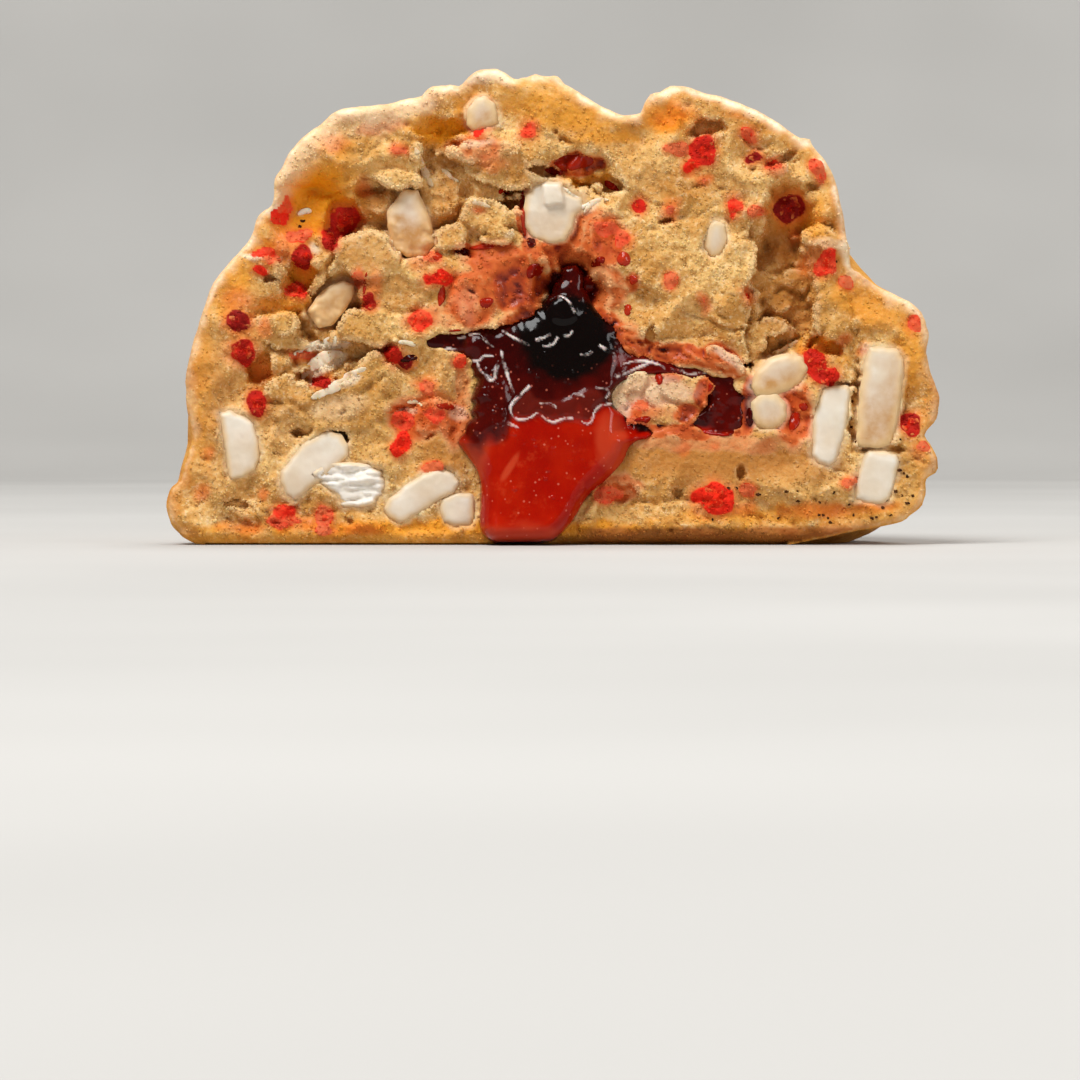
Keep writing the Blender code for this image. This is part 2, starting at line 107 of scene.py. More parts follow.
# The line, x and z, below which the jam is thin enough for light to pass.
CLEAR_BELOW = (
    (-9, 7.4), (-7, 7.0), (-5.2, 7.3), (-4.2, 8.8), (-3.4, 11.7), (0, 11.5), (3.6, 11.4), (4.6, 12.7), (6, 11.6),
    (8, 9.8),
)
JAM_EDGE_STEP = 0.28
JAM_CELL = 0.13


def ease(share):
    """0 up to 0, 1 from 1, and a smooth rise between them."""
    share = np.clip(share, 0.0, 1.0)
    return share * share * (3 - 2 * share)


def points_at(x, y, z):
    """Points (..., 3) from their coordinates, each an array or one number for all."""
    return np.stack(np.broadcast_arrays(x, y, z), axis=-1)


def grain(points, size, layers=1, seed=0.0):
    """Smooth noise, about -1 to 1, at points (..., 3): lumps of the given size with finer ones on them."""
    flat = (np.asarray(points).reshape(-1, 3) / size + seed).tolist()
    if layers > 1:
        made = [noise.fractal(p, 1.0, 2.1, layers - 1 + 1e-6) for p in flat]
    else:
        made = [noise.noise(p) for p in flat]
    return np.array(made).reshape(np.shape(points)[:-1])


def curve_through(points, steps):
    """Points at equal steps along a smooth curve through the given ones."""
    given = np.array([points[0], *points, points[-1]])
    t = np.arange(8)[:, None] / 8
    pieces = []
    for p0, p1, p2, p3 in zip(given, given[1:], given[2:], given[3:]):
        bend, twist = 2 * p0 - 5 * p1 + 4 * p2 - p3, 3 * p1 - p0 - 3 * p2 + p3
        pieces.append(0.5 * (2 * p1 + (p2 - p0) * t + bend * t**2 + twist * t**3))
    fine = np.vstack([*pieces, points[-1:]])
    along = np.concatenate([[0], np.cumsum(np.linalg.norm(np.diff(fine, axis=0), axis=1))])
    wanted = np.linspace(0, along[-1], steps + 1)
    return np.stack([np.interp(wanted, along, fine[:, k]) for k in (0, 1)], axis=-1)


def spot(x, z, shape, softness=0.5, ragged=0.0):
    """1 inside a turned ellipse, 0 well outside it."""
    middle_x, middle_z, half_x, half_z, turn = shape
    c, s = math.cos(math.radians(turn)), math.sin(math.radians(turn))
    across = (c * (x - middle_x) + s * (z - middle_z)) / half_x
    up = (c * (z - middle_z) - s * (x - middle_x)) / half_z
    away = np.sqrt(across**2 + up**2) + ragged * 0.8 / min(half_x, half_z)
    return ease((1 + softness / 2 - away) / softness)


def square_away(x, z, a, b):
    """Square of the distance from each place to the straight line from a to b."""
    (ax, az), (bx, bz) = a, b
    dx, dz = bx - ax, bz - az
    t = np.clip(((x - ax) * dx + (z - az) * dz) / (dx * dx + dz * dz + 1e-12), 0, 1)
    return (x - ax - t * dx) ** 2 + (z - az - t * dz) ** 2


def away_from(path, x, z):
    """Distance from each place to a line through the points of a path."""
    nearest = np.full(np.shape(x), 1e9)
    for a, b in zip(path, path[1:]):
        nearest = np.minimum(nearest, square_away(x, z, a, b))
    return np.sqrt(nearest)


def along(places, x, z, reach):
    """1 on a curve through the places, falling to 0 at the reach on either side."""
    away = away_from(curve_through(places, 6 * len(places)), x, z)
    return np.sqrt(np.clip(1 - (away / reach) ** 2, 0, 1))


def distance_inside(outline, x, z):
    """Distance from each place to a closed outline, negative outside it."""
    inside = np.zeros(x.shape, bool)
    for (ax, az), (bx, bz) in zip(outline, np.roll(outline, -1, axis=0)):
        if bz != az:
            inside ^= ((az > z) != (bz > z)) & (x < ax + (z - az) * (bx - ax) / (bz - az))
    return np.where(inside, 1, -1) * away_from([*outline, outline[0]], x, z)


def fill_outline(outline, cell):
    """Fills a closed outline (n, 2) with an even grid, joined to it by triangles.
    Gives the grid's x and z, the number of each grid place in the faces (-1: unused), the faces, and
    how far inside the outline each grid place lies."""
    low, high = outline.min(axis=0), outline.max(axis=0)
    x, z = np.meshgrid(np.arange(low[0], high[0], cell), np.arange(low[1], high[1], cell), indexing="ij")
    inside = distance_inside(outline, x, z)
    good = inside > max(0.2, 0.7 * cell)
    kept = good[:-1, :-1] & good[1:, :-1] & good[1:, 1:] & good[:-1, 1:]
    used = np.zeros(x.shape, bool)
    for part in (used[:-1, :-1], used[1:, :-1], used[1:, 1:], used[:-1, 1:]):
        part |= kept
    number = np.full(x.shape, -1)
    number[used] = len(outline) + np.arange(used.sum())
    corners = [number[:-1, :-1], number[1:, :-1], number[1:, 1:], number[:-1, 1:]]
    faces = np.stack(corners, axis=-1)[kept].tolist()
    sides = {}
    for face in faces:
        for a, b in zip(face, face[1:] + face[:1]):
            if (b, a) in sides:
                del sides[b, a]
            else:
                sides[a, b] = True
    ring = sorted({v for side in sides for v in side})
    place = np.stack([x[used], z[used]], axis=-1)
    local = {v: len(outline) + k for k, v in enumerate(ring)}
    places = [Vector(p) for p in outline] + [Vector(place[v - len(outline)]) for v in ring]
    edges = [(k, (k + 1) % len(outline)) for k in range(len(outline))] + [(local[a], local[b]) for a, b in sides]
    found = delaunay_2d_cdt(places, edges, [], 1, 1e-7)
    names = list(range(len(outline))) + ring
    for triangle in found[2]:
        middle = sum((places[k] for k in triangle), Vector((0, 0))) / 3
        i, j = int((middle.x - low[0]) // cell), int((middle.y - low[1]) // cell)
        if 0 <= i < kept.shape[0] and 0 <= j < kept.shape[1] and kept[i, j]:
            continue
        faces.append([names[k] for k in triangle])
    return x, z, number, faces, inside


def closed_curve(places, step):
    """A smooth closed outline through the places, with points a step apart."""
    places = (*places, places[0])
    length = np.linalg.norm(np.diff(np.array(places), axis=0), axis=1).sum()
    return curve_through(places, int(length / step))[:-1]


def sheet(outline, cell, front, back):
    """A closed body over an outline: its front and its back are depths given by x, z and distance inside."""
    edge_depth = front(*outline.T, np.zeros(len(outline)))
    points, faces = [points_at(outline[:, 0], edge_depth, outline[:, 1])], []
    for surface, size in ((front, cell), (back, 3 * cell)):
        x, z, number, found, inside = fill_outline(outline, size)
        used = number >= 0
        shift = sum(len(p) for p in points) - len(outline)
        points.append(points_at(x[used], surface(x[used], z[used], inside[used]), z[used]))
        for face in found:
            moved = [k if k < len(outline) else k + shift for k in face]
            faces.append(moved if surface is back else moved[::-1])
    return np.vstack(points), faces


def new_piece(name, places, faces, finish):
    """A mesh piece from places in millimetres behind the torn face, with its faces turned outwards."""
    mesh = bpy.data.meshes.new(name)
    world = (np.asarray(places) + (0, FACE_Y, 0)) * MILLIMETRE
    mesh.from_pydata(world.tolist(), [], faces)
    bm = bmesh.new()
    bm.from_mesh(mesh)
    bmesh.ops.recalc_face_normals(bm, faces=bm.faces)
    bm.to_mesh(mesh)
    bm.free()
    mesh.shade_smooth()
    mesh.materials.append(finish)
    made = bpy.data.objects.new(name, mesh)
    bpy.context.scene.collection.objects.link(made)
    return made


def mark(piece, name, values):
    """Stores a number for each point of a piece, for its material."""
    layer = piece.data.attributes.new(name, "FLOAT", "POINT")
    layer.data.foreach_set("value", np.asarray(values, np.float32))


def shade(code, alpha=1.0):
    """A colour written as on a paint chart (#RRGGBB), in the linear values that shaders take."""
    parts = np.array([int(code[k:k + 2], 16) / 255 for k in (1, 3, 5)])
    linear = np.where(parts <= 0.04045, parts / 12.92, ((parts + 0.055) / 1.055) ** 2.4)
    return (*linear.tolist(), alpha)


class Flow:
    """A socket in a material. Sums of flows add Math nodes, and node() adds any other node."""

    def __init__(self, tree, socket=None):
        self.tree, self.socket = tree, socket

    def node(self, kind, settings=None, values=None, out=0):
        made = self.tree.nodes.new(kind)
        for name, value in (settings or {}).items():
            if name == "stops":
                while len(made.color_ramp.elements) < len(value):
                    made.color_ramp.elements.new(1.0)
                for element, (at, colour) in zip(made.color_ramp.elements, value):
                    element.position, element.color = at, colour
            else:
                setattr(made, name, value)
        for name, value in (values or {}).items():
            if isinstance(value, Flow):
                self.tree.links.new(value.socket, made.inputs[name])
            else:
                made.inputs[name].default_value = value
        return Flow(self.tree, made.outputs[out])

    def maths(self, operation, *values):
        return self.node("ShaderNodeMath", {"operation": operation}, dict(enumerate(values)))

    def __add__(self, other):
        return self.maths("ADD", self, other)

    def __sub__(self, other):
        return self.maths("SUBTRACT", self, other)

    def __rsub__(self, other):
        return self.maths("SUBTRACT", other, self)

    def __mul__(self, other):
        return self.maths("MULTIPLY", self, other)

    __radd__, __rmul__ = __add__, __mul__

    def span(self, low, high):
        """0 at low, 1 at high, eased between them."""
        values = {"Value": self, "From Min": low, "From Max": high}
        return self.node("ShaderNodeMapRange", {"interpolation_type": "SMOOTHSTEP"}, values)

    def mix(self, a, b):
        """The colour a where this is 0, b where it is 1."""
        return self.node("ShaderNodeMix", {"data_type": "RGBA"}, {0: self, 6: a, 7: b}, 2)

    def attribute(self, name):
        return self.node("ShaderNodeAttribute", {"attribute_name": name}, out="Fac")

    def speckle(self, size, detail=2.0, roughness=0.5, stretch=(1, 1, 1)):
        """Noise on the object's own coordinates, with lumps of so many millimetres."""
        where = self.node("ShaderNodeTexCoord", out="Object")
        where = self.node("ShaderNodeMapping", {}, {"Vector": where, "Scale": stretch})
        values = {"Vector": where, "Scale": 1000 / size, "Detail": detail, "Roughness": roughness}
        return self.node("ShaderNodeTexNoise", {}, values)

    def cells(self, size, feature="F1"):
        where = self.node("ShaderNodeTexCoord", out="Object")
        return self.node("ShaderNodeTexVoronoi", {"feature": feature}, {"Vector": where, "Scale": 1000 / size})

    def bump(self, height, distance, strength=1.0):
        values = {"Height": height, "Distance": distance * MILLIMETRE, "Strength": strength}
        return self.node("ShaderNodeBump", {}, values)


def new_material(name, constants, links):
    """A Principled material: constants set on its sockets, and links made by a function of a Flow."""
    made = bpy.data.materials.new(name)
    made.use_nodes = True
    shader = made.node_tree.nodes["Principled BSDF"]
    for socket, value in constants.items():
        shader.inputs[socket].default_value = value
    for socket, flow in links(Flow(made.node_tree)).items():
        made.node_tree.links.new(flow.socket, shader.inputs[socket])
    return made


def jam_levels(x, z, inside):
    """The jam's depth in front and the depth that its rounded edge falls to."""
    table = curve_through(JAM_FRONT, 200)
    level = np.interp(z, table[:, 1], table[:, 0])
    right_arm = ease((x - 4.8) / 3.4) * ease((z - 9.6) / 1.2)
    left_arm = ease((-7.4 - x) / 1.4) * ease((z - 15.5) / 1.5)
    arm = right_arm + left_arm
    level = level * (1 - arm) + 0.3 * arm
    edge = np.maximum(0.9, level + 1.0) - 0.65 * arm
    share = np.clip(inside / (2.0 - 1.1 * arm), 0, 1)
    return edge + (level - edge) * np.sqrt(1 - (1 - share) ** 2), edge


def fold_width(x, z, least, more):
    """Half width of the wet edges, which swell and fade along their length."""
    return least + more * ease(0.5 + 1.6 * grain(points_at(x, 0.0, z), 1.3, 2, seed=33.0))


def jam_front(x, z, inside):
    depth, _ = jam_levels(x, z, inside)
    held = ease(inside / 0.8)
    flat = points_at(x, 0.0, z)
    pane = ease((distance_inside(JAM_LIP, x, z) + 0.5) / 1.2)
    upper = ease((z - 10.5) / 3)
    wave = 0.2 * grain(flat, 4.2, 2, seed=3.0) + (0.05 + 0.05 * upper) * grain(flat, 1.7, 2, seed=7.0)
    bulge = 0.28 * pane + 0.5 * spot(x, z, (-6.0, 13.2, 1.9, 3.0, 0), 0.8)
    bulge += 0.3 * spot(x, z, (1.0, 22.0, 1.5, 1.2, 0), 0.7)
    depth = depth - (wave + bulge) * held
    reach = fold_width(x, z, 0.07, 0.09)
    for stand, *places in JAM_FOLDS:
        depth = depth - 0.5 * stand * along(places, x, z, reach)
    chance = np.random.default_rng(5)
    smallest, largest = BUBBLE_RADII
    for low_x, low_z, high_x, high_z, many in JAM_BUBBLES:
        for bx, bz, size in chance.uniform((low_x, low_z, smallest), (high_x, high_z, largest), (many, 3)):
            depth = depth - 0.8 * np.sqrt(np.clip(size**2 - (x - bx) ** 2 - (z - bz) ** 2, 0, None)) * held
    return depth + ISLAND_SINK * spot(x, z, ISLAND, 0.3)


def jam_back(x, z, inside):
    heart = np.sqrt(np.clip(1 - ((x - 0.6) / 8.0) ** 2 - ((z - 17.6) / 6.4) ** 2, 0, 1))
    _, edge = jam_levels(x, z, inside)
    return edge + ease(inside / 1.2) * (1.0 + 13.5 * heart) + ISLAND_SINK * spot(x, z, ISLAND, 0.3)


def jam_look(flow):
    deep, core, pane, film, fold = (flow.attribute(n) for n in ("deep", "core", "pane", "film", "fold"))
    broad, middling, fine = flow.speckle(4, 3), flow.speckle(1.4, 4, 0.6), flow.speckle(0.4, 2)
    clear = broad.span(0.3, 0.7).mix(shade("#980A00"), shade("#AC1A02"))
    clear = (middling.span(0.56, 0.74) * 0.3).mix(clear, shade("#C84420"))
    clear = film.mix(clear, shade("#B83A1E"))
    dark = broad.span(0.3, 0.7).mix(shade("#260101"), shade("#4C0602"))
    dark = (middling.span(0.55, 0.75) * 0.6).mix(dark, shade("#66140A"))
    tone = (deep + (middling - 0.5) * 0.3).span(0.1, 0.9).mix(clear, dark)
    tone = (core + (middling - 0.5) * 0.25).span(0.15, 0.85).mix(tone, shade("#0A0403"))
    tone = (pane * (0.55 + middling * 0.5)).mix(tone, shade("#60180F"))
    bubbles = (1 - flow.cells(0.8).span(0.08, 0.18)) * (1 - core) * 0.5
    tone = bubbles.mix(tone, shade("#D8745C"))
    # Painted highlight: the wet edges of the folds are painted near white where the lights would glint on them.
    tone = (fold * middling.span(0.36, 0.56) * 0.9).mix(tone, shade("#E8D8D2"))
    return {
        "Base Color": tone,
        "Roughness": 0.1 + middling.span(0.5, 0.8) * 0.06,
        "Normal": flow.bump(middling * 0.6 + fine * 0.2, 0.1, 0.3),
    }


jam_finish = new_material(
    "strawberry_jam",
    {
        "Subsurface Weight": 0.3,
        "Subsurface Scale": 0.002,
        "Subsurface Radius": (1.0, 0.12, 0.04),
        "Specular IOR Level": 0.15,
    },
    jam_look,
)
jam_outline = closed_curve(JAM_OUTLINE, JAM_EDGE_STEP)
ring = points_at(jam_outline[:, 0], 0.0, jam_outline[:, 1])
above_drip = ease((ring[:, 2] - 8) / 3)
torn_ends = 0.34 + 0.4 * (ring[:, 0] > 14) + 0.25 * (ring[:, 0] < -6)
jam_outline[:, 0] += torn_ends * grain(ring, 1.1, 3, seed=15.0) * above_drip
jam_outline[:, 1] += 0.34 * grain(ring, 1.1, 3, seed=25.0) * above_drip
jam_points, jam_faces = sheet(jam_outline, JAM_CELL, jam_front, jam_back)
jam_points[:, 2] = np.maximum(jam_points[:, 2], 0.05)
jam = new_piece("jam_filling", jam_points, jam_faces, jam_finish)
jx, _, jz = jam_points.T
rag = grain(jam_points, 1.6, 3, seed=13.0)
film = np.maximum.reduce([
    ease(1 - (jx + 7.3 - 0.25 * (jz - 6)) / 1.1) * ease((10.4 - jz) / 1.5),
    0.8 * ease((2.6 - jz + 0.6 * rag) / 1.6),
    0.8 * spot(jx, jz, (5.6, 9.2, 1.5, 3.0, 12), 0.5, rag * 0.3),
    spot(jx, jz, (-4.0, 7.3, 0.3, 1.4, -32), 0.7, rag * 0.12),
])
# Where the painted highlight of the wet edges goes.
fold = np.zeros_like(jx)
fold_reach = fold_width(jx, jz, 0.08, 0.08)
for _, *places in JAM_FOLDS:
    fold = np.maximum(fold, along(places, jx, jz, fold_reach))
arm_thin = np.maximum(0.35 * spot(jx, jz, (10.4, 16.9, 4.8, 1.2, -6), 0.6, rag * 0.5), 0.25 * ease((jx - 13) / 2))
above = jz - np.interp(jx, *np.transpose(CLEAR_BELOW))
darkens_over = 1.3 + 3.0 * ease((-3.2 - jx) / 1.2)
mark(jam, "deep", ease((above + 0.9 * rag) / darkens_over) * (1 - arm_thin))
mark(jam, "core", spot(jx, jz, (1.2, 19.3, 4.6, 4.2, 0), 0.8, rag * 0.8))
mark(jam, "pane", ease((distance_inside(JAM_LIP, jx, jz) + 0.15) / 0.5))
mark(jam, "film", film)
mark(jam, "fold", fold)
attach(jam, "root")
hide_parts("jam")

# White chocolate. Broken pieces of a bar, baked in the dough: their edges are softened and run into the
# crumb, the faces that the tear went through are smooth, and one of them broke up into flakes.
# Each: node, how far its front lies behind the torn face, thickness, how wide the softened edge is, how flaky
# (0 to 1), how far the crumb has tinted it together with painted shade on its lower side (0 to 1), then the outline.
CHOCOLATE = (
    ("chocolate_left_slab", 0.0, 4.6, 0.48, 0.0, 0.1, (-31.1, 12.2), (-30.0, 12.4), (-28.7, 11.9),
     (-27.9, 11.1), (-27.6, 9.6), (-27.6, 8.2), (-27.9, 7.3), (-29.0, 6.5), (-30.1, 6.3), (-30.3, 7.6),
     (-30.5, 9.4), (-30.8, 10.8)),
    ("chocolate_left_baton", -0.15, 4.2, 0.54, 0.0, 0.12, (-21.9, 10.1), (-20.9, 10.5), (-19.9, 10.2),
     (-19.2, 9.2), (-19.4, 8.2), (-20.3, 7.4), (-21.5, 6.5), (-22.4, 5.8), (-23.2, 4.8), (-24.2, 4.2),
     (-25.0, 4.8), (-25.3, 5.9), (-25.2, 7.0), (-24.3, 8.2), (-23.0, 9.4)),
    ("chocolate_flaky_piece", -0.1, 4.0, 0.36, 1.0, 0.0, (-22.2, 6.6), (-21.6, 7.2), (-20.6, 7.4),
     (-19.0, 7.5), (-17.4, 7.4), (-16.2, 6.9), (-15.8, 5.9), (-16.0, 4.9), (-16.8, 4.0), (-18.0, 3.7),
     (-19.6, 3.8), (-19.8, 4.7), (-20.8, 5.1), (-21.4, 5.8)),
    ("chocolate_low_baton", 0.0, 3.8, 0.48, 0.0, 0.1, (-10.2, 7.1), (-9.4, 6.6), (-9.0, 5.6), (-9.5, 4.9),
     (-10.8, 4.3), (-12.2, 3.4), (-13.4, 2.6), (-14.3, 2.3), (-15.1, 2.7), (-15.5, 3.5), (-15.0, 4.4),
     (-13.8, 5.4), (-12.4, 6.4), (-11.2, 7.0)),
    ("chocolate_low_block", 0.1, 3.6, 0.36, 0.0, 0.1, (-10.2, 4.2), (-9.0, 4.6), (-7.7, 4.6), (-7.5, 4.0),
     (-7.6, 2.6), (-7.8, 2.0), (-9.2, 2.0), (-10.1, 2.2), (-10.3, 3.3)),
    ("chocolate_hollow_left", 1.1, 5.0, 1.8, 0.0, 0.8, (-14.7, 32.0), (-13.8, 33.0), (-12.7, 32.9),
     (-12.1, 31.6), (-11.6, 30.0), (-11.1, 28.3), (-11.8, 27.2), (-13.4, 27.0), (-14.7, 27.9), (-15.2, 29.4),
     (-15.3, 31.0)),
    ("chocolate_mid_left", 1.0, 4.4, 0.72, 0.0, 1.1, (-22.9, 21.8), (-22.0, 23.0), (-20.8, 24.0),
     (-19.6, 24.5), (-18.7, 24.2), (-18.9, 23.2), (-19.6, 21.9), (-20.6, 20.7), (-21.8, 20.5)),
    ("chocolate_top_left", 0.0, 3.0, 0.42, 0.0, 0.5, (-7.9, 39.3), (-7.8, 40.4), (-7.1, 41.4), (-6.3, 41.6),
     (-5.6, 41.0), (-5.3, 40.0), (-5.2, 39.3), (-6.2, 39.0), (-7.3, 38.7)),
    ("chocolate_top_middle", 0.4, 4.6, 0.36, 0.05, 0.15, (-2.3, 32.6), (-1.8, 33.5), (-0.6, 33.9), (0.8, 33.8),
     (1.4, 32.8), (2.6, 32.3), (2.9, 31.4), (1.9, 30.8), (1.7, 29.6), (1.0, 28.5), (-0.4, 28.3), (-1.8, 28.9),
     (-2.4, 30.0), (-2.5, 31.4)),
    ("chocolate_right_sliver", 0.0, 3.4, 0.3, 0.0, 0.25, (14.2, 27.8), (14.5, 29.3), (15.0, 30.0),
     (15.9, 29.8), (16.0, 28.4), (15.6, 27.3), (14.8, 27.0)),
    ("chocolate_jam_lower", 0.0, 3.8, 0.66, 0.0, 0.4, (18.7, 13.2), (19.5, 13.9), (20.8, 13.9), (21.6, 13.1),
     (21.8, 12.1), (21.2, 11.2), (20.2, 10.9), (19.2, 11.2), (18.7, 12.1)),
    ("chocolate_jam_upper", 0.0, 4.2, 0.72, 0.0, 0.55, (18.6, 14.9), (19.2, 16.3), (20.4, 17.3), (21.8, 17.7),
     (23.0, 17.4), (23.5, 16.4), (22.9, 15.2), (21.8, 14.5), (20.4, 14.1), (19.2, 14.1)),
    ("chocolate_right_baton", -0.1, 4.6, 0.48, 0.0, 0.0, (25.0, 13.6), (25.3, 14.4), (26.4, 14.7),
     (27.4, 14.7), (27.6, 14.0), (27.3, 12.0), (27.0, 9.8), (26.4, 7.9), (25.8, 7.5), (24.8, 7.8), (24.2, 8.5),
     (24.3, 9.6), (24.5, 11.6)),
    ("chocolate_right_slab", -0.15, 4.8, 0.48, 0.0, 0.42, (29.1, 17.5), (29.3, 18.4), (30.6, 18.5),
     (32.2, 18.1), (32.7, 17.2), (32.7, 16.2), (32.5, 14.6), (32.2, 12.8), (31.9, 11.0), (31.5, 9.7),
     (30.2, 9.3), (28.6, 9.4), (28.4, 10.2), (28.6, 11.6), (28.8, 14.0), (29.0, 16.0)),
    ("chocolate_right_block", 0.0, 4.2, 0.48, 0.0, 0.0, (29.2, 8.4), (29.6, 8.7), (30.8, 8.6), (32.0, 8.3),
     (32.1, 7.6), (31.7, 6.0), (31.3, 4.6), (30.8, 4.1), (29.4, 4.1), (28.3, 4.4), (28.3, 5.3), (28.8, 7.2)),
)


def chocolate_look(flow):
    film, tint, flake = (flow.attribute(n) for n in ("film", "tint", "flake"))
    broad, middling, fine = flow.speckle(4, 3), flow.speckle(1.1, 4, 0.6), flow.speckle(0.3, 3)
    tone = broad.span(0.3, 0.7).mix(shade("#DCCEB8"), shade("#E8DFD0"))
    tone = (middling.span(0.5, 0.8) * 0.4).mix(tone, shade("#EDE6DC"))
    tone = (flake * 0.6).mix(tone, shade("#F6F2EA"))
    tone = (tint + (middling + fine * 0.4 - 0.7) * 0.9 * tint).mix(tone, shade("#BE8C50"))
    tone = (film * (0.6 + middling * 0.6)).mix(tone, shade("#E0BC86"))
    return {
        "Base Color": tone,
        "Roughness": 0.4 + fine * 0.2 + flake * 0.2,
        "Normal": flow.bump(middling * 0.7 + fine * 0.3, 0.08, 0.4),
    }


def terraces(values, riser):
    """Whole steps, with a short eased riser between them."""
    return np.floor(values) + ease((values - np.floor(values) - 0.5) / riser + 0.5)


def edge_fall(inside, roundness):
    """How far a softened edge falls back: nothing from its width inwards, all of it at the outline."""
    share = np.clip(inside / roundness, 0, 1)
    return (0.03 + 0.16 * roundness) * (1 - np.sqrt(1 - (1 - share) ** 2))


chocolate_finish = new_material(
    "white_chocolate",
    {"Subsurface Weight": 0.35, "Subsurface Scale": 0.0015, "Subsurface Radius": (1.0, 0.9, 0.7)},
    chocolate_look,
)
CHOCOLATE_EDGE_STEP = 0.2
CHOCOLATE_CELL = 0.15
chocolate_beds = []
for count, (node, first, thickness, roundness, flaky, tint, *places) in enumerate(CHOCOLATE):
    corners = []
    for a, b in zip(places, (*places[1:], places[0])):
        corners += [a, tuple(0.5 * (np.array(a) + b))]
    outline = closed_curve(corners, CHOCOLATE_EDGE_STEP)
    ring = points_at(outline[:, 0], 3.0 * count, outline[:, 1])
    outline = outline + 0.12 * np.stack([grain(ring, 1.3, 3, seed=k) for k in (4.0, 14.0)], axis=-1)
    from_middle = outline - outline.mean(axis=0)
    outline += 0.22 * from_middle / np.linalg.norm(from_middle, axis=1, keepdims=True)
    middle = outline.mean(axis=0)

    def front(x, z, inside):
        flat = points_at(x, 20.0 * count, z)
        steps = grain(flat * (0.4, 1, 1.9) + 0.5 * grain(flat, 1.5)[..., None], 1.5, 3, seed=8.0) * 4.0
        chips = 0.2 * terraces(steps, 0.2) + 0.05 * grain(flat, 0.6, 2)
        level = first + 0.1 * grain(flat, 2.4, 2) + flaky * chips
        if node == "chocolate_top_middle":
            cube = np.maximum(np.abs(x - 0.03 + 0.12 * (z - 32.7)) / 0.9, np.abs(z - 32.7 - 0.1 * x) / 1.0)
            level -= 0.55 * ease((1.05 - cube) / 0.15)
        turn = 0.9 + 2.4 * count
        lower = (x - middle[0]) * math.cos(turn) + (z - middle[1]) * math.sin(turn) + 0.3 * grain(flat, 3.0)
        level += 0.3 * ease(lower / 2.0) * (1 - ease(inside / 0.5)) - 0.08 * ease(inside / 0.8)
        if first > 0.9:
            level += 0.35 * grain(flat, 0.9, 3) * ease(1 - (inside - 0.3) / 1.5) * ease((middle[1] + 1.5 - z) / 2)
        return level + edge_fall(inside, roundness) + 0.03 * grain(flat, 0.6, 2)

    def back(x, z, inside):
        return front(x, z, 0 * inside) + (thickness - 0.6) * np.sqrt(ease(inside / 1.0))

    chocolate_points, chocolate_faces = sheet(outline, CHOCOLATE_CELL, front, back)
    piece = new_piece(node + "_piece", chocolate_points, chocolate_faces, chocolate_finish)
    px, py, pz = chocolate_points.T
    inside = np.maximum(distance_inside(outline, px, pz), 0)
    rag = grain(chocolate_points, 1.2, 3, seed=17.0)
    wide, tall = np.ptp(places, axis=0)
    # Painted shade: the tint deepens towards the bottom of each piece and a little towards its right; the rest is the
    # crumb's own tint.
    shade_slope = 1 + 2.1 * (middle[1] - pz) / tall + 0.7 * (px - middle[0]) / wide + 0.5 * rag
    tinted_and_shaded = 0.12 * ease(0.5 + 1.2 * grain(chocolate_points, 2.2, 2, seed=19.0)) + tint * shade_slope
    melted = 0.9 * ease(1 - (inside + 0.2 * rag) / (0.55 + 1.2 * tint))
    mark(piece, "film", np.maximum(melted, ease((py - first - 0.9) / 0.8)))
    mark(piece, "tint", np.clip(tinted_and_shaded, 0, 0.95))
    mark(piece, "flake", np.full(len(px), min(1.0, 1.5 * flaky)))
    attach(piece, "root")
    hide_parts(node)
    chocolate_beds.append((outline, first, thickness, roundness))

# Dough. A thick domed cookie broken in two by hand: the front is torn crumb, the rest is baked crust.
# Both are one body of butter dough, browned outside and underneath, with hollows where it pulled apart.
# Half outlines of the dome at the left and right of the tear and at the back: distance from its middle, height.
LEFT_PROFILE = (
    (32.6, 0.0), (33.6, 0.2), (34.6, 0.8), (35.6, 1.8), (36.0, 3.0), (36.1, 4.2), (35.4, 5.4), (34.8, 6.2),
    (34.5, 7.6), (33.9, 9.2), (33.7, 10.0), (34.1, 12.5), (34.3, 14.5), (34.2, 16.0), (33.8, 18.0),
    (33.2, 20.2), (32.5, 22.2), (32.0, 23.8), (31.3, 25.0), (30.2, 26.3), (28.8, 27.9), (28.0, 29.0),
    (27.7, 30.2), (27.2, 31.0), (26.3, 31.6), (26.0, 32.5), (26.0, 34.0), (25.3, 35.2), (24.6, 36.5),
    (24.0, 37.3), (22.8, 38.4), (21.5, 39.4), (20.3, 40.4), (19.0, 40.8), (17.0, 40.95), (15.2, 41.2),
    (14.0, 41.6), (12.3, 41.8), (11.8, 42.3), (11.0, 42.8), (9.8, 42.9), (8.9, 42.8), (8.2, 43.2), (7.4, 44.0),
    (6.4, 44.5), (5.4, 44.3), (4.3, 43.8), (3.5, 43.4), (2.6, 43.6), (1.7, 43.9), (0.8, 43.7), (0.0, 43.8),
)
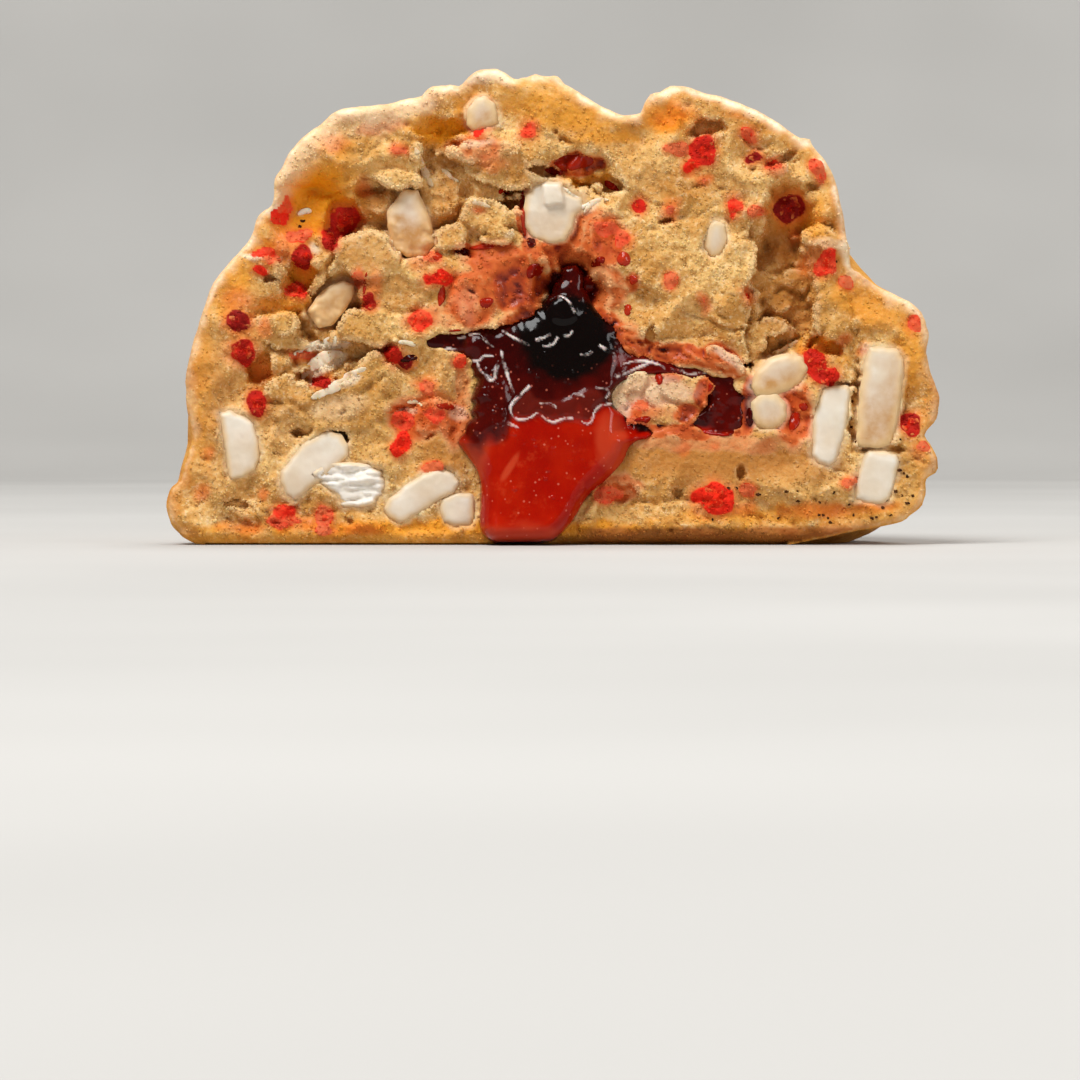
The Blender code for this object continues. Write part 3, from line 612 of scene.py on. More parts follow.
RIGHT_PROFILE = (
    (22.0, 0.0), (25.0, 0.6), (28.0, 1.2), (31.0, 1.8), (32.8, 2.3), (34.2, 3.4), (34.8, 4.6), (34.9, 5.9),
    (35.8, 6.8), (36.0, 7.8), (35.4, 9.2), (34.7, 10.3), (35.6, 11.4), (36.0, 12.4), (36.1, 13.6), (35.6, 15.2),
    (35.1, 16.6), (34.85, 18.0), (35.1, 19.2), (35.0, 20.2), (34.5, 21.4), (33.6, 22.5), (32.0, 23.3),
    (30.0, 24.3), (28.6, 25.4), (27.8, 25.9), (27.7, 27.6), (27.4, 28.4), (27.2, 30.2), (26.7, 32.4),
    (26.2, 34.3), (25.4, 35.8), (24.3, 37.2), (23.9, 37.9), (23.0, 38.0), (21.5, 39.0), (20.0, 40.0),
    (18.0, 41.0), (16.0, 41.7), (14.0, 42.2), (12.6, 42.7), (11.2, 42.8), (10.0, 42.3), (9.1, 42.0),
    (8.5, 41.1), (8.2, 40.3), (7.2, 40.15), (6.2, 40.2), (4.8, 40.7), (3.4, 41.6), (1.9, 42.5), (0.9, 43.1),
    (0.5, 43.7), (0.0, 43.8),
)
BACK_PROFILE = (
    (30.5, 0.0), (33.6, 1.8), (35.0, 5.5), (34.6, 11.0), (33.2, 17.0), (30.8, 23.0), (27.3, 29.0), (22.8, 33.6),
    (17.0, 37.2), (10.5, 39.2), (5.0, 40.7), (1.6, 42.5), (0.0, 43.8),
)
# Grids: rows and columns of the crust, and the cells of the face and the underside.
CRUST_ROWS = 165
CRUST_COLUMNS = 150
FACE_CELL = 0.21
UNDERSIDE_CELL = 1.1
# How far behind the tear the outline of the sides turns into that of the back, how far the rim of the face is
# rounded back, the sizes of the crumb's granules and pores, and the place that the crust bulges away from.
SIDE_REACH = 12.0
RIM_SETBACK = 0.6
GRANULE = 0.55
PORE = (2.3, 2.3, 1.3)
DOME_HEART = np.array((0.0, 0.0, 14.0))

# Hollows: x, z, half width, half height, turn in degrees, depth, softness of the edge.
HOLLOWS = (
    (-22.6, 31.2, 3.7, 2.9, 15, 2.4, 0.8), (-19.7, 30.4, 2.1, 2.3, 0, 3.4, 0.5),
    (-15.8, 31.6, 3.0, 2.4, -12, 2.4, 0.7), (-13.2, 30.2, 2.7, 3.6, -18, 2.0, 0.6),
    (-10.4, 32.2, 2.6, 3.4, 0, 1.9, 0.6), (-10.4, 36.4, 2.3, 2.0, 0, 1.5, 0.7),
    (-10.3, 38.9, 2.7, 1.0, -3, 1.5, 0.6), (-23.6, 25.0, 1.9, 1.5, 30, 2.4, 0.6),
    (-20.3, 22.7, 3.4, 2.3, 42, 2.4, 0.5), (-24.4, 22.5, 3.0, 1.2, 5, 1.2, 0.7),
    (-22.4, 19.9, 1.9, 1.4, -30, 2.0, 0.5), (-27.3, 16.6, 1.0, 1.7, -28, 1.6, 0.5),
    (-19.4, 18.0, 4.8, 1.0, 12, 1.7, 0.45), (-21.6, 16.2, 2.5, 0.9, 20, 1.8, 0.45),
    (-20.4, 10.8, 2.0, 0.6, -30, 3.0, 0.35), (-23.4, 10.7, 1.1, 0.4, 15, 1.2, 0.4),
    (-26.0, 8.6, 0.7, 0.35, -20, 1.0, 0.5), (21.9, 30.6, 2.4, 3.2, 0, 2.8, 0.5),
    (21.4, 26.6, 2.4, 3.8, 0, 3.0, 0.5), (22.0, 22.2, 2.7, 3.6, 0, 2.7, 0.5),
    (20.3, 19.2, 2.0, 1.9, 0, 2.6, 0.5), (25.3, 18.6, 1.7, 1.0, -20, 1.7, 0.5),
    (27.3, 15.0, 1.5, 0.45, 0, 1.5, 0.5), (28.2, 12.0, 0.45, 3.2, -5, 1.4, 0.5),
    (30.4, 9.0, 1.8, 0.35, 0, 1.0, 0.5), (1.5, 23.4, 2.8, 3.4, 0, 3.0, 0.9), (2.0, 35.4, 2.7, 1.3, 8, 1.4, 0.6),
    (-0.8, 34.8, 1.3, 0.5, -10, 2.6, 0.4), (-4.3, 31.7, 1.8, 0.6, 25, 2.4, 0.4),
    (-2.9, 32.2, 0.5, 1.0, 0, 2.0, 0.4), (5.6, 33.6, 1.5, 0.8, -10, 2.0, 0.4),
    (3.2, 34.0, 1.7, 0.8, 0, 1.6, 0.5), (14.0, 38.9, 1.7, 0.9, 5, 1.6, 0.5),
    (18.1, 16.8, 0.6, 0.35, 0, 2.4, 0.4), (9.2, 19.6, 0.5, 0.8, 0, 1.0, 0.5),
    (9.6, 29.3, 0.6, 0.3, 10, 1.0, 0.5), (10.6, 30.2, 0.7, 0.35, 20, 1.4, 0.5),
    (-26.2, 24.9, 0.9, 0.4, 10, 1.0, 0.5), (17.5, 6.7, 0.5, 0.6, 0, 0.8, 0.5),
    (11.6, 4.8, 0.4, 0.3, 0, 0.8, 0.5), (24.0, 33.3, 0.9, 0.6, 20, 1.0, 0.5),
    (-3.4, 33.0, 1.4, 0.4, 10, 1.6, 0.4), (-11.6, 34.6, 0.9, 1.4, 25, 1.8, 0.4),
    (20.6, 35.8, 1.7, 0.5, 20, 1.1, 0.4), (-30.5, 3.9, 1.6, 0.25, -5, 0.9, 0.5),
)
# Lumps and flakes that stand out of what is round them: the same, with how far they stand out of the face in
# place of the depth.
FLAKES = (
    (-17.0, 27.0, 2.9, 2.3, -8, 0.9, 0.25), (-12.2, 25.4, 3.0, 1.6, 0, 0.5, 0.5),
    (-25.0, 20.6, 1.3, 1.1, 0, 0.6, 0.35), (-14.8, 34.2, 2.0, 0.9, 0, 0.0, 0.5),
    (-6.6, 36.7, 2.7, 1.0, 3, 0.9, 0.25), (-6.8, 31.5, 1.2, 0.9, 0, 0.4, 0.4),
    (-6.2, 30.4, 2.2, 1.5, -15, 0.2, 0.5), (-9.6, 28.6, 1.9, 1.0, 15, 0.1, 0.5),
    (-4.9, 28.8, 1.4, 0.8, 10, 0.5, 0.4), (-7.4, 22.9, 2.2, 2.8, 0, 0.6, 0.6),
    (25.1, 28.5, 2.2, 0.9, -8, 1.1, 0.25), (19.9, 24.6, 1.4, 1.0, 10, -2.6, 0.4),
    (22.8, 24.6, 1.5, 0.9, -10, -2.4, 0.4), (20.9, 20.4, 1.6, 0.7, -10, -1.4, 0.3),
    (19.0, 19.2, 0.9, 1.6, 0, -1.4, 0.4), (9.9, 13.8, 4.7, 2.6, 0, -0.4, 0.5),
    (7.2, 15.3, 1.3, 0.9, 10, 0.9, 0.8), (12.4, 14.7, 2.1, 1.2, -8, 1.0, 0.7),
    (5.7, 13.4, 0.8, 1.1, 0, 0.7, 0.8), (8.2, 12.1, 1.2, 0.6, 10, 0.6, 0.8),
    (10.6, 12.2, 1.2, 0.8, 0, 0.8, 0.8), (9.4, 14.0, 0.6, 0.8, 0, 0.6, 0.8),
    (14.4, 13.0, 0.7, 1.0, 0, 0.4, 0.8), (16.0, 17.2, 1.8, 0.9, -35, 0.6, 0.4),
    (-22.6, 27.6, 1.6, 1.4, 0, -0.6, 0.5), (-17.4, 16.2, 1.9, 1.0, 35, 0.4, 0.3),
    (-20.6, 14.4, 2.6, 0.8, 12, 0.4, 0.3), (-16.6, 20.4, 3.2, 1.6, 0, 0.4, 0.3),
    (-12.8, 36.6, 0.5, 1.0, 15, 0.5, 0.4), (-19.6, 12.4, 4.2, 1.7, 8, 0.35, 0.5),
    (-15.0, 23.4, 3.0, 1.7, 0, 0.15, 0.5), (26.2, 22.0, 1.5, 2.8, 0, 0.3, 0.4),
    (12.5, 26.5, 5.6, 3.8, 0, 0.35, 0.3), (20.6, 34.8, 1.5, 0.4, 15, 0.4, 0.3),
)
# Torn edges: how much deeper the face is to the left of the line (going along it), how far that reaches,
# then places along the edge.
LEDGES = (
    (0.8, 1.2, (-20.6, 33.2), (-22.5, 33.7), (-24.2, 33.7), (-25.6, 33.4)),
    (1.5, 2.4, (-20.3, 26.1), (-19.8, 27.0), (-18.9, 28.3), (-17.4, 29.0), (-15.5, 29.4), (-14.4, 28.2),
     (-14.0, 26.9), (-12.8, 26.7), (-11.8, 27.0), (-10.5, 27.5), (-9.0, 27.2)),
    (1.2, 1.8, (-12.9, 33.6), (-13.6, 34.3), (-15.0, 34.9), (-16.4, 34.3), (-17.6, 34.4), (-18.8, 33.6)),
    (1.6, 2.6, (-3.0, 33.2), (-4.5, 33.4), (-6.0, 34.0), (-7.6, 34.6), (-8.4, 35.6), (-9.9, 36.4)),
    (1.0, 1.4, (-8.1, 32.5), (-6.4, 32.1), (-4.3, 31.2)),
    (1.0, 1.4, (-11.3, 29.3), (-9.6, 29.5), (-8.2, 30.6), (-7.9, 32.0)),
    (1.4, 2.2, (-29.0, 26.8), (-27.5, 27.0), (-26.0, 26.3), (-24.6, 25.0), (-23.6, 23.9), (-22.6, 22.4)),
    (1.1, 1.3, (-27.6, 21.2), (-25.8, 21.4), (-24.2, 21.2), (-23.5, 20.2), (-23.0, 19.4)),
    (1.2, 1.4, (-20.5, 18.9), (-23.0, 18.4), (-24.8, 18.3), (-26.3, 18.7)),
    (1.2, 1.6, (-26.8, 14.6), (-26.3, 15.4), (-25.0, 15.8), (-23.4, 15.0), (-22.0, 14.3), (-20.0, 15.2),
     (-18.5, 16.1), (-17.4, 17.3), (-16.0, 16.9), (-14.6, 16.3)),
    (1.0, 1.4, (-20.2, 20.6), (-19.4, 21.6), (-17.6, 22.2), (-15.0, 22.1), (-13.4, 21.9)),
    (1.4, 3.0, (18.6, 30.6), (18.0, 29.2), (18.9, 27.6), (18.5, 25.6), (17.9, 23.6), (18.2, 21.6),
     (17.7, 19.6), (18.1, 17.4)),
    (1.4, 2.4, (24.1, 18.4), (25.0, 19.7), (24.2, 20.8), (24.8, 22.0), (23.9, 23.1), (24.4, 24.3),
     (23.3, 25.6)),
    (1.3, 1.4, (20.9, 18.0), (22.4, 18.8), (23.4, 19.2)),
    (1.1, 1.3, (20.4, 21.2), (21.6, 21.1), (22.4, 20.4)),
    (1.0, 1.2, (18.6, 20.8), (19.6, 20.9), (20.3, 20.1)),
    (1.3, 1.4, (23.2, 27.3), (23.6, 28.7), (24.4, 29.6), (25.8, 29.4)),
    (0.9, 1.2, (19.0, 23.6), (20.2, 24.4), (21.6, 25.3), (22.8, 24.0)),
    (0.4, 1.4, (30.0, 20.1), (28.2, 20.4), (26.8, 20.2)),
    (0.7, 1.0, (32.2, 9.4), (30.8, 8.9), (29.7, 9.2), (28.6, 9.0)),
    (0.5, 1.2, (24.2, 7.8), (25.0, 7.3), (26.2, 6.9), (27.4, 6.5)),
    (0.4, 0.9, (-16.2, 24.2), (-15.4, 23.4), (-13.6, 24.0), (-12.2, 23.4)),
    (0.5, 1.0, (17.6, 19.6), (16.6, 20.4), (14.0, 21.2), (12.0, 22.0)),
    (0.5, 1.0, (18.6, 29.0), (16.4, 28.8), (13.4, 29.6)),
    (0.8, 1.1, (-6.4, 28.6), (-4.6, 29.4), (-3.0, 28.8)),
    (0.9, 1.0, (1.6, 33.9), (3.0, 33.2), (4.8, 32.0)),
    (0.6, 1.0, (17.6, 37.6), (18.6, 36.9), (20.0, 37.2)),
    (0.6, 1.1, (2.6, 4.4), (8.0, 3.8), (14.0, 3.9)),
    (0.7, 1.2, (-14.6, 12.4), (-12.6, 12.9), (-11.0, 13.6), (-9.6, 13.2)),
    (0.6, 1.2, (9.4, 18.4), (10.6, 19.2), (12.4, 19.0), (14.6, 19.3)),
    (0.6, 0.9, (8.0, 27.4), (9.4, 28.6), (10.6, 28.4), (11.4, 29.2)),
    (0.5, 0.9, (-30.4, 3.9), (-28.6, 4.2), (-26.0, 3.8), (-24.0, 4.0)),
    (0.5, 1.0, (-27.6, 12.6), (-25.2, 13.0), (-23.2, 12.4)),
    (0.6, 1.0, (19.0, 34.6), (20.6, 35.0), (22.4, 35.6)),
)
# Tints of the face, each as x, z, half width, half height, turn and strength: amber where fat and sugar have
# baked clear, soaked where the jam has drawn into the crumb, even where the crumb is pressed smooth.
AMBER = (
    (-27.3, 16.5, 1.0, 1.7, -28, 0.6), (-22.6, 32.0, 4.2, 3.4, 20, 1.0), (-23.4, 25.2, 1.9, 1.5, 30, 0.9),
    (-10.4, 38.8, 2.9, 1.3, -3, 1.0), (11.0, 39.7, 2.6, 1.5, 0, 1.0), (1.0, 40.4, 5.5, 1.8, -8, 0.6),
    (5.0, 38.0, 3.4, 0.6, 0, 0.6), (-27.6, 27.5, 1.7, 0.8, 35, 0.9), (-26.0, 31.2, 1.0, 2.0, 0, 0.7),
    (24.3, 30.3, 1.2, 2.2, 0, 0.7), (-5.0, 40.9, 5.0, 1.0, 0, 0.6), (29.0, 22.4, 4.5, 1.6, -28, 0.5),
    (-30.6, 22.6, 1.2, 1.8, 10, 0.6), (33.3, 18.3, 1.8, 4.0, 0, 0.6), (-20.8, 37.3, 1.8, 1.0, 0, 0.6),
    (3.0, 34.2, 2.4, 0.8, 0, 0.7), (25.2, 18.4, 2.0, 1.2, -20, 0.8), (-24.4, 22.4, 3.0, 1.3, 5, 0.6),
    (22.6, 31.6, 2.6, 2.4, 0, 0.5), (26.0, 35.0, 1.0, 3.0, 15, 0.5), (22.0, 2.9, 12.0, 0.8, 3, 0.6),
    (-8.0, 1.4, 22.0, 0.9, 0, 0.9), (-32.9, 13.8, 1.3, 7.0, 0, 0.25), (-29.6, 25.0, 1.5, 2.0, 35, 0.75),
    (-20.0, 0.9, 4.0, 0.8, 0, 0.9),
)
SOAKED = (
    (-5.2, 26.5, 3.5, 1.9, 0, 0.66), (-3.2, 24.0, 2.9, 2.5, 0, 0.82), (4.8, 24.2, 2.2, 3.2, 12, 0.5),
    (4.6, 27.4, 2.0, 2.0, 0, 0.72), (3.8, 28.8, 3.0, 3.0, 0, 0.5), (0.6, 26.9, 3.4, 1.4, 0, 0.62),
    (9.6, 13.9, 4.6, 2.6, 0, 0.36), (22.6, 12.0, 1.9, 3.4, 0, 0.65), (-12.8, 12.0, 2.8, 2.4, 0, 0.55),
    (-7.4, 23.0, 2.6, 3.2, 0, 0.62), (16.0, 17.2, 2.4, 1.5, -35, 0.6), (10.5, 17.8, 5.6, 1.2, -6, 0.72),
    (12.8, 12.2, 1.6, 1.0, 0, 0.8), (7.2, 12.4, 1.2, 0.8, 0, 0.7), (10.8, 15.6, 2.0, 0.5, 0, 0.7),
    (-7.0, 37.0, 3.0, 1.4, 0, 0.45), (-2.7, 30.9, 0.7, 2.6, 0, 0.7), (2.0, 35.5, 2.3, 1.1, 8, 0.8),
    (-2.4, 28.4, 0.8, 1.8, 0, 0.7), (-8.4, 27.6, 0.9, 0.7, 0, 0.6), (7.5, 24.6, 0.8, 1.2, 0, 0.55),
    (6.4, 10.6, 2.2, 0.7, 0, 1.0), (1.6, 23.4, 2.5, 3.0, 0, 1.2), (-9.8, 16.4, 2.0, 2.0, 0, 0.2),
    (14.5, 13.8, 1.4, 1.8, 0, 0.8), (12.4, 10.6, 5.8, 0.8, 0, 0.7), (-10.2, 21.4, 2.4, 1.4, 0, 0.4),
    (-9.0, 11.2, 1.6, 2.4, 0, 0.55), (6.2, 5.4, 2.2, 1.4, 0, 0.5), (14.0, 9.6, 10.0, 1.0, -2, 0.4),
    (-6.7, 40.2, 1.8, 2.0, 0, 0.45), (1.0, 18.5, 6.6, 4.2, 0, 1.2), (18.3, 13.0, 1.0, 3.0, 0, 0.95),
    (-8.4, 13.6, 0.9, 3.4, 0, 0.4),
)
EVEN = (
    (16.0, 8.2, 8.5, 2.2, 0, 0.75), (-22.6, 31.8, 4.0, 3.2, 20, 0.9), (-5.0, 26.5, 4.0, 2.4, 0, 0.3),
    (-3.4, 24.0, 3.2, 3.0, 0, 0.3), (4.4, 25.4, 3.0, 4.6, 0, 0.3), (-17.0, 26.8, 2.6, 2.0, -8, 0.8),
    (-28.5, 23.6, 3.0, 2.6, 0, 0.4), (0.0, 41.0, 9.0, 2.0, 0, 0.4), (-15.0, 39.6, 5.0, 1.2, 0, 0.3),
    (29.5, 22.4, 4.5, 1.8, -28, 0.4), (-32.5, 14.0, 2.0, 9.0, 0, 0.2), (21.5, 27.5, 2.2, 5.5, 0, 0.5),
    (-9.3, 8.0, 2.4, 2.4, 0, 0.6), (-20.4, 23.0, 2.8, 2.0, 42, 0.7),
)
# Dried strawberry bits in the face: x, z, width, height, and how bright: 0 is dark, 1 is fresh red, above 1 pales
# to where only a film of dough lets it show.
BERRIES = (
    (-24.8, 31.9, 0.7, 1.4, 1.2), (-25.4, 30.5, 1.5, 0.7, 1.0), (-19.6, 30.4, 2.6, 2.4, 0.4),
    (-20.9, 28.7, 1.5, 1.8, 0.4), (-23.9, 28.8, 2.2, 1.0, 1.25), (-23.2, 27.0, 2.0, 2.1, 0.4),
    (-27.2, 27.1, 1.8, 0.7, 1.1), (-26.4, 26.7, 1.0, 0.7, 1.3), (-24.2, 23.7, 1.5, 0.9, 1.1),
    (-21.8, 22.5, 0.9, 0.8, 1.3), (-17.0, 22.5, 1.4, 1.1, 0.4), (-18.1, 24.9, 1.0, 1.3, 1.3),
    (-27.2, 25.6, 0.8, 0.7, 0.9), (-29.4, 20.6, 2.4, 1.7, 0.2), (-29.0, 18.1, 2.5, 2.2, 0.5),
    (-27.6, 13.2, 1.9, 2.0, 0.4), (-23.4, 17.8, 1.9, 0.7, 1.3), (-21.6, 15.2, 1.8, 0.9, 0.5),
    (-14.8, 17.8, 1.7, 1.5, 0.5), (-13.6, 17.1, 1.2, 0.8, 0.0), (-12.3, 20.9, 2.3, 1.9, 1.1),
    (-10.3, 25.0, 3.0, 1.4, 0.9), (-12.0, 14.8, 1.5, 1.5, 1.35), (-13.7, 11.6, 2.1, 1.1, 1.15),
    (-11.6, 12.2, 2.0, 1.1, 1.2), (-14.1, 9.3, 1.5, 1.8, 0.9), (-11.5, 7.4, 1.4, 0.7, 1.3),
    (-8.7, 17.2, 0.9, 0.9, 1.1), (-25.0, 3.2, 2.0, 1.0, 1.1), (-25.0, 2.2, 2.6, 0.9, 1.2),
    (-21.3, 2.6, 1.3, 1.6, 1.2), (-21.1, 1.2, 2.2, 0.9, 1.3), (4.9, 4.7, 1.9, 1.3, 1.2),
    (8.3, 13.1, 0.9, 0.8, 1.4), (8.1, 11.4, 1.2, 0.6, 1.3), (15.1, 4.3, 3.4, 2.9, 0.95),
    (18.3, 5.1, 1.1, 0.8, 1.3), (27.6, 5.9, 1.3, 0.9, 1.4), (33.4, 11.2, 1.9, 2.1, 0.4),
    (34.5, 9.2, 1.0, 1.1, 1.3), (24.6, 17.1, 2.0, 2.2, 0.6), (25.5, 15.7, 1.9, 1.7, 0.6),
    (33.7, 20.7, 1.1, 1.3, 1.2), (25.5, 26.2, 1.8, 2.3, 1.1), (27.2, 24.4, 1.0, 1.0, 1.3),
    (22.2, 31.6, 2.8, 2.3, 0.2), (24.4, 35.4, 1.0, 1.1, 1.2), (25.1, 34.4, 1.0, 1.4, 1.2),
    (19.1, 36.1, 1.5, 0.8, 0.2), (20.4, 35.3, 1.7, 1.2, 1.2), (18.2, 38.3, 1.4, 1.1, 1.2),
    (14.1, 36.8, 2.2, 2.6, 0.6), (13.0, 35.3, 1.5, 1.0, 1.0), (14.1, 34.1, 0.8, 0.7, 1.4),
    (16.6, 31.6, 1.2, 2.1, 1.1), (19.4, 31.1, 1.1, 0.7, 1.3), (8.0, 31.7, 1.0, 1.1, 0.6),
    (10.9, 31.3, 1.3, 1.4, 1.2), (4.9, 29.5, 1.7, 1.5, 1.2), (6.6, 28.5, 1.2, 1.1, 1.2),
    (11.1, 24.6, 0.9, 1.2, 1.3), (14.1, 22.7, 0.5, 1.1, 1.4), (18.1, 23.0, 0.7, 1.5, 0.6),
    (-14.3, 36.9, 1.2, 1.0, 1.4), (-2.3, 38.7, 1.7, 1.5, 1.2), (-7.1, 38.3, 0.7, 0.9, 1.0),
    (11.6, 36.8, 1.2, 0.6, 1.4), (-11.4, 26.6, 1.2, 0.8, 1.5), (28.9, 18.2, 0.6, 0.5, 1.4),
    (-6.9, 31.3, 0.5, 0.5, 1.2),
)
# Where the crumb is darker and redder: partly from the butter that soaked in, partly painted shade in cavities
# and under overhanging lumps. Given as the tints above.
TOASTED_AND_SHADED = (
    (33.2, 18.2, 1.8, 3.6, 0, 0.7), (-12.0, 30.0, 1.2, 3.0, -15, 0.2), (-17.2, 27.2, 2.6, 2.0, 0, 0.55),
    (-15.0, 23.6, 3.0, 1.6, 0, 0.4), (24.6, 22.6, 1.0, 1.4, 0, 0.3), (29.6, 22.2, 4.4, 1.5, -28, 0.75),
    (21.6, 28.4, 1.9, 2.2, 0, 0.7), (-17.2, 31.6, 2.0, 1.7, 0, 0.8), (22.4, 21.8, 2.2, 3.2, 0, 0.4),
    (-10.0, 31.0, 4.0, 2.6, 0, 0.3), (15.5, 8.1, 9.5, 2.4, 0, 0.9), (-32.4, 14.0, 1.9, 8.5, 2, 0.7),
    (-29.5, 12.5, 3.0, 3.5, 0, 0.3), (-26.0, 11.5, 3.0, 3.0, 0, 0.4), (-10.2, 8.8, 2.4, 2.2, 0, 0.7),
    (24.0, 7.0, 4.0, 1.4, 0, 0.6), (23.6, 22.0, 0.8, 4.0, 0, 0.5), (4.0, 38.4, 4.0, 1.2, -5, 0.5),
    (12.0, 34.0, 6.0, 1.5, 0, 0.3), (-3.4, 35.0, 1.5, 1.0, 0, 0.4),
)
# White chocolate smeared thin on the crumb, and some painted light: a painted highlight along the top rim and
# paler crumb where it lies in shade. The same.
SMEARED_AND_LIT = (
    (-6.0, 43.7, 3.4, 0.7, 0, 0.5), (-15.0, 40.4, 5.0, 0.7, 6, 0.2), (-20.0, 12.8, 2.6, 1.2, 8, 0.3),
    (9.4, 14.4, 3.6, 1.4, 0, 0.5), (-22.2, 27.6, 0.55, 0.8, 20, 0.9), (-24.0, 36.0, 2.0, 1.2, 45, 0.1),
    (-21.4, 18.6, 2.3, 0.42, 4, 1.0), (-21.0, 16.8, 1.9, 0.5, 30, 1.0), (-19.2, 15.2, 2.0, 0.34, 24, 0.8),
    (-22.3, 15.6, 0.5, 0.8, -20, 0.9), (-13.4, 12.4, 0.8, 0.3, 10, 0.5), (6.4, 13.0, 0.8, 1.3, 0, 0.6),
    (7.4, 15.4, 1.4, 0.6, 20, 0.5), (12.4, 16.4, 1.6, 0.4, -5, 0.6), (16.4, 17.4, 1.4, 0.4, -35, 0.6),
    (-8.8, 12.3, 0.8, 0.7, 0, 0.5), (3.6, 31.6, 1.0, 0.4, 40, 0.6), (-8.0, 22.4, 1.0, 1.8, 0, 0.12),
    (-23.5, 31.1, 0.6, 0.3, 20, 0.9), (-6.9, 37.3, 1.6, 0.4, 10, 0.5), (-28.2, 26.9, 1.3, 0.35, -8, 1.0),
    (25.4, 28.2, 1.6, 0.4, -5, 0.4), (-4.0, 29.0, 0.5, 0.25, 20, 0.6),
)
# Faint stains only: x, z, width, height.
STAINS = (
    (-27.3, 16.4, 1.6, 2.8), (-28.5, 1.6, 4.0, 1.2), (-18.0, 1.3, 4.0, 1.1), (-22.5, 1.8, 6.0, 1.4),
    (17.5, 3.4, 3.0, 1.0), (25.5, 3.3, 6.0, 1.2), (11.0, 40.2, 4.5, 2.8), (-20.6, 37.5, 2.4, 1.4),
    (-17.6, 33.4, 1.4, 1.4), (-17.2, 38.9, 1.8, 1.0), (-15.0, 39.3, 1.8, 1.0), (17.4, 40.4, 1.8, 1.2),
    (-32.8, 4.9, 1.4, 1.4), (-27.2, 4.7, 0.9, 0.8), (-32.3, 8.6, 0.8, 0.8), (34.4, 9.0, 1.8, 2.0),
    (-5.4, 35.6, 3.0, 1.4), (27.1, 19.1, 1.1, 0.8), (12.4, 8.9, 1.0, 1.0), (15.2, 9.2, 0.9, 0.8),
    (-26.8, 20.2, 1.2, 1.4), (22.9, 29.0, 0.9, 1.6), (24.0, 10.4, 1.2, 1.6), (-6.9, 31.4, 1.0, 1.0),
    (-29.4, 23.0, 3.0, 2.0), (-12.0, 26.4, 2.6, 1.4), (-16.6, 24.4, 1.2, 2.6), (33.9, 20.6, 2.2, 2.2),
    (-26.4, 31.4, 1.4, 3.0), (-24.5, 28.0, 4.0, 3.0), (24.6, 26.6, 2.6, 3.0), (8.4, 12.6, 2.6, 1.6),
    (14.4, 13.4, 1.4, 2.0), (30.0, 3.6, 5.0, 1.0), (-10.6, 12.6, 3.0, 3.0), (21.8, 13.4, 3.4, 2.6),
    (-9.2, 23.4, 1.4, 3.4),
)


def strongest(x, z, shapes, ragged, softness=0.7):
    """The highest of several spots, each given as a shape and its strength."""
    found = np.zeros_like(x)
    for *shape, strength in shapes:
        found = np.maximum(found, strength * spot(x, z, shape, softness, ragged))
    return found


def torn_edge(x, z, places, reach):
    """1 close to the left of a line through the places, falling to 0 at the reach; 0 to its right."""
    path = curve_through(places, 4 * len(places))
    nearest, left_of = np.full(x.shape, 1e9), np.zeros(x.shape, bool)
    for a, b in zip(path, path[1:]):
        away = square_away(x, z, a, b)
        closer = away < nearest
        nearest = np.where(closer, away, nearest)
        left_of = np.where(closer, (b[0] - a[0]) * (z - a[1]) - (b[1] - a[1]) * (x - a[0]) > 0, left_of)
    away = np.sqrt(nearest)
    return np.where(left_of, ease(away / 0.16), 0) * ease(1 - away / reach)


def cell_distance(points, size):
    """Distance to the nearest of the middles of scattered cells of this size, in cells."""
    flat = (points.reshape(-1, 3) / size).tolist()
    return np.array([noise.voronoi(p)[0][0] for p in flat]).reshape(points.shape[:-1])


def blurred(values, reach):
    """Mean over a square of (2 * reach + 1) places."""
    for axis in (0, 1):
        ends = [(reach + 1, reach) if k == axis else (0, 0) for k in (0, 1)]
        total = np.cumsum(np.pad(values, ends, mode="edge"), axis=axis)
        n = values.shape[axis]
        upper, lower = (np.take(total, np.arange(k, k + n), axis=axis) for k in (2 * reach + 1, 0))
        values = (upper - lower) / (2 * reach + 1)
    return values


# The crust: half a turn round the dome, from its profile at the right, over the back, to that at the left.
left, right, back = (curve_through(p, CRUST_ROWS) for p in (LEFT_PROFILE, RIGHT_PROFILE, BACK_PROFILE))
even_angle = np.linspace(0, math.pi, CRUST_COLUMNS + 1)
angle = math.pi * (0.5 - 0.5 * np.cos(even_angle)) * 0.45 + 0.55 * even_angle
angle = angle[:, None, None]
side = left + (right - left) * ease(0.5 + 0.5 * np.cos(angle))
behind = ease(back[:, :1] * np.sin(angle) / SIDE_REACH)
profile = side + (back - side) * behind
radius, height = profile[..., 0], profile[..., 1]
crust = points_at(radius * np.cos(angle[..., 0]), radius * np.sin(angle[..., 0]), height)
outward = crust - DOME_HEART
outward /= np.linalg.norm(outward, axis=-1, keepdims=True)
fade = ease(crust[..., 1] / 5) * ease(crust[..., 2] / 4)
swell = 1.1 * (grain(crust, 11.0) + 0.4 * grain(crust, 4.95)) * fade
pits = ease((grain(crust, 2.6, seed=5.0) - 0.25) / 0.4)
crack_lines = ease(1 - np.abs(grain(crust, 7.5, 3, seed=9.0)) / 0.05)
cracks = crack_lines * ease((grain(crust, 14.0, seed=3.0) + 0.05) / 0.3)
fine = 0.16 * grain(crust, 3.4, 2, seed=2.0) - 0.1 * pits - 0.45 * cracks
near_front = ease(crust[..., 1] / 1.5)
crust += outward * (swell + fine * (0.2 + 0.8 * near_front) * ease(crust[..., 2] / 1.5))[..., None]
rough_low = ease((11 - crust[..., 2]) / 3)
rough_top = ease((crust[..., 2] - 40.5) / 1.5) * (crust[..., 0] < 12)
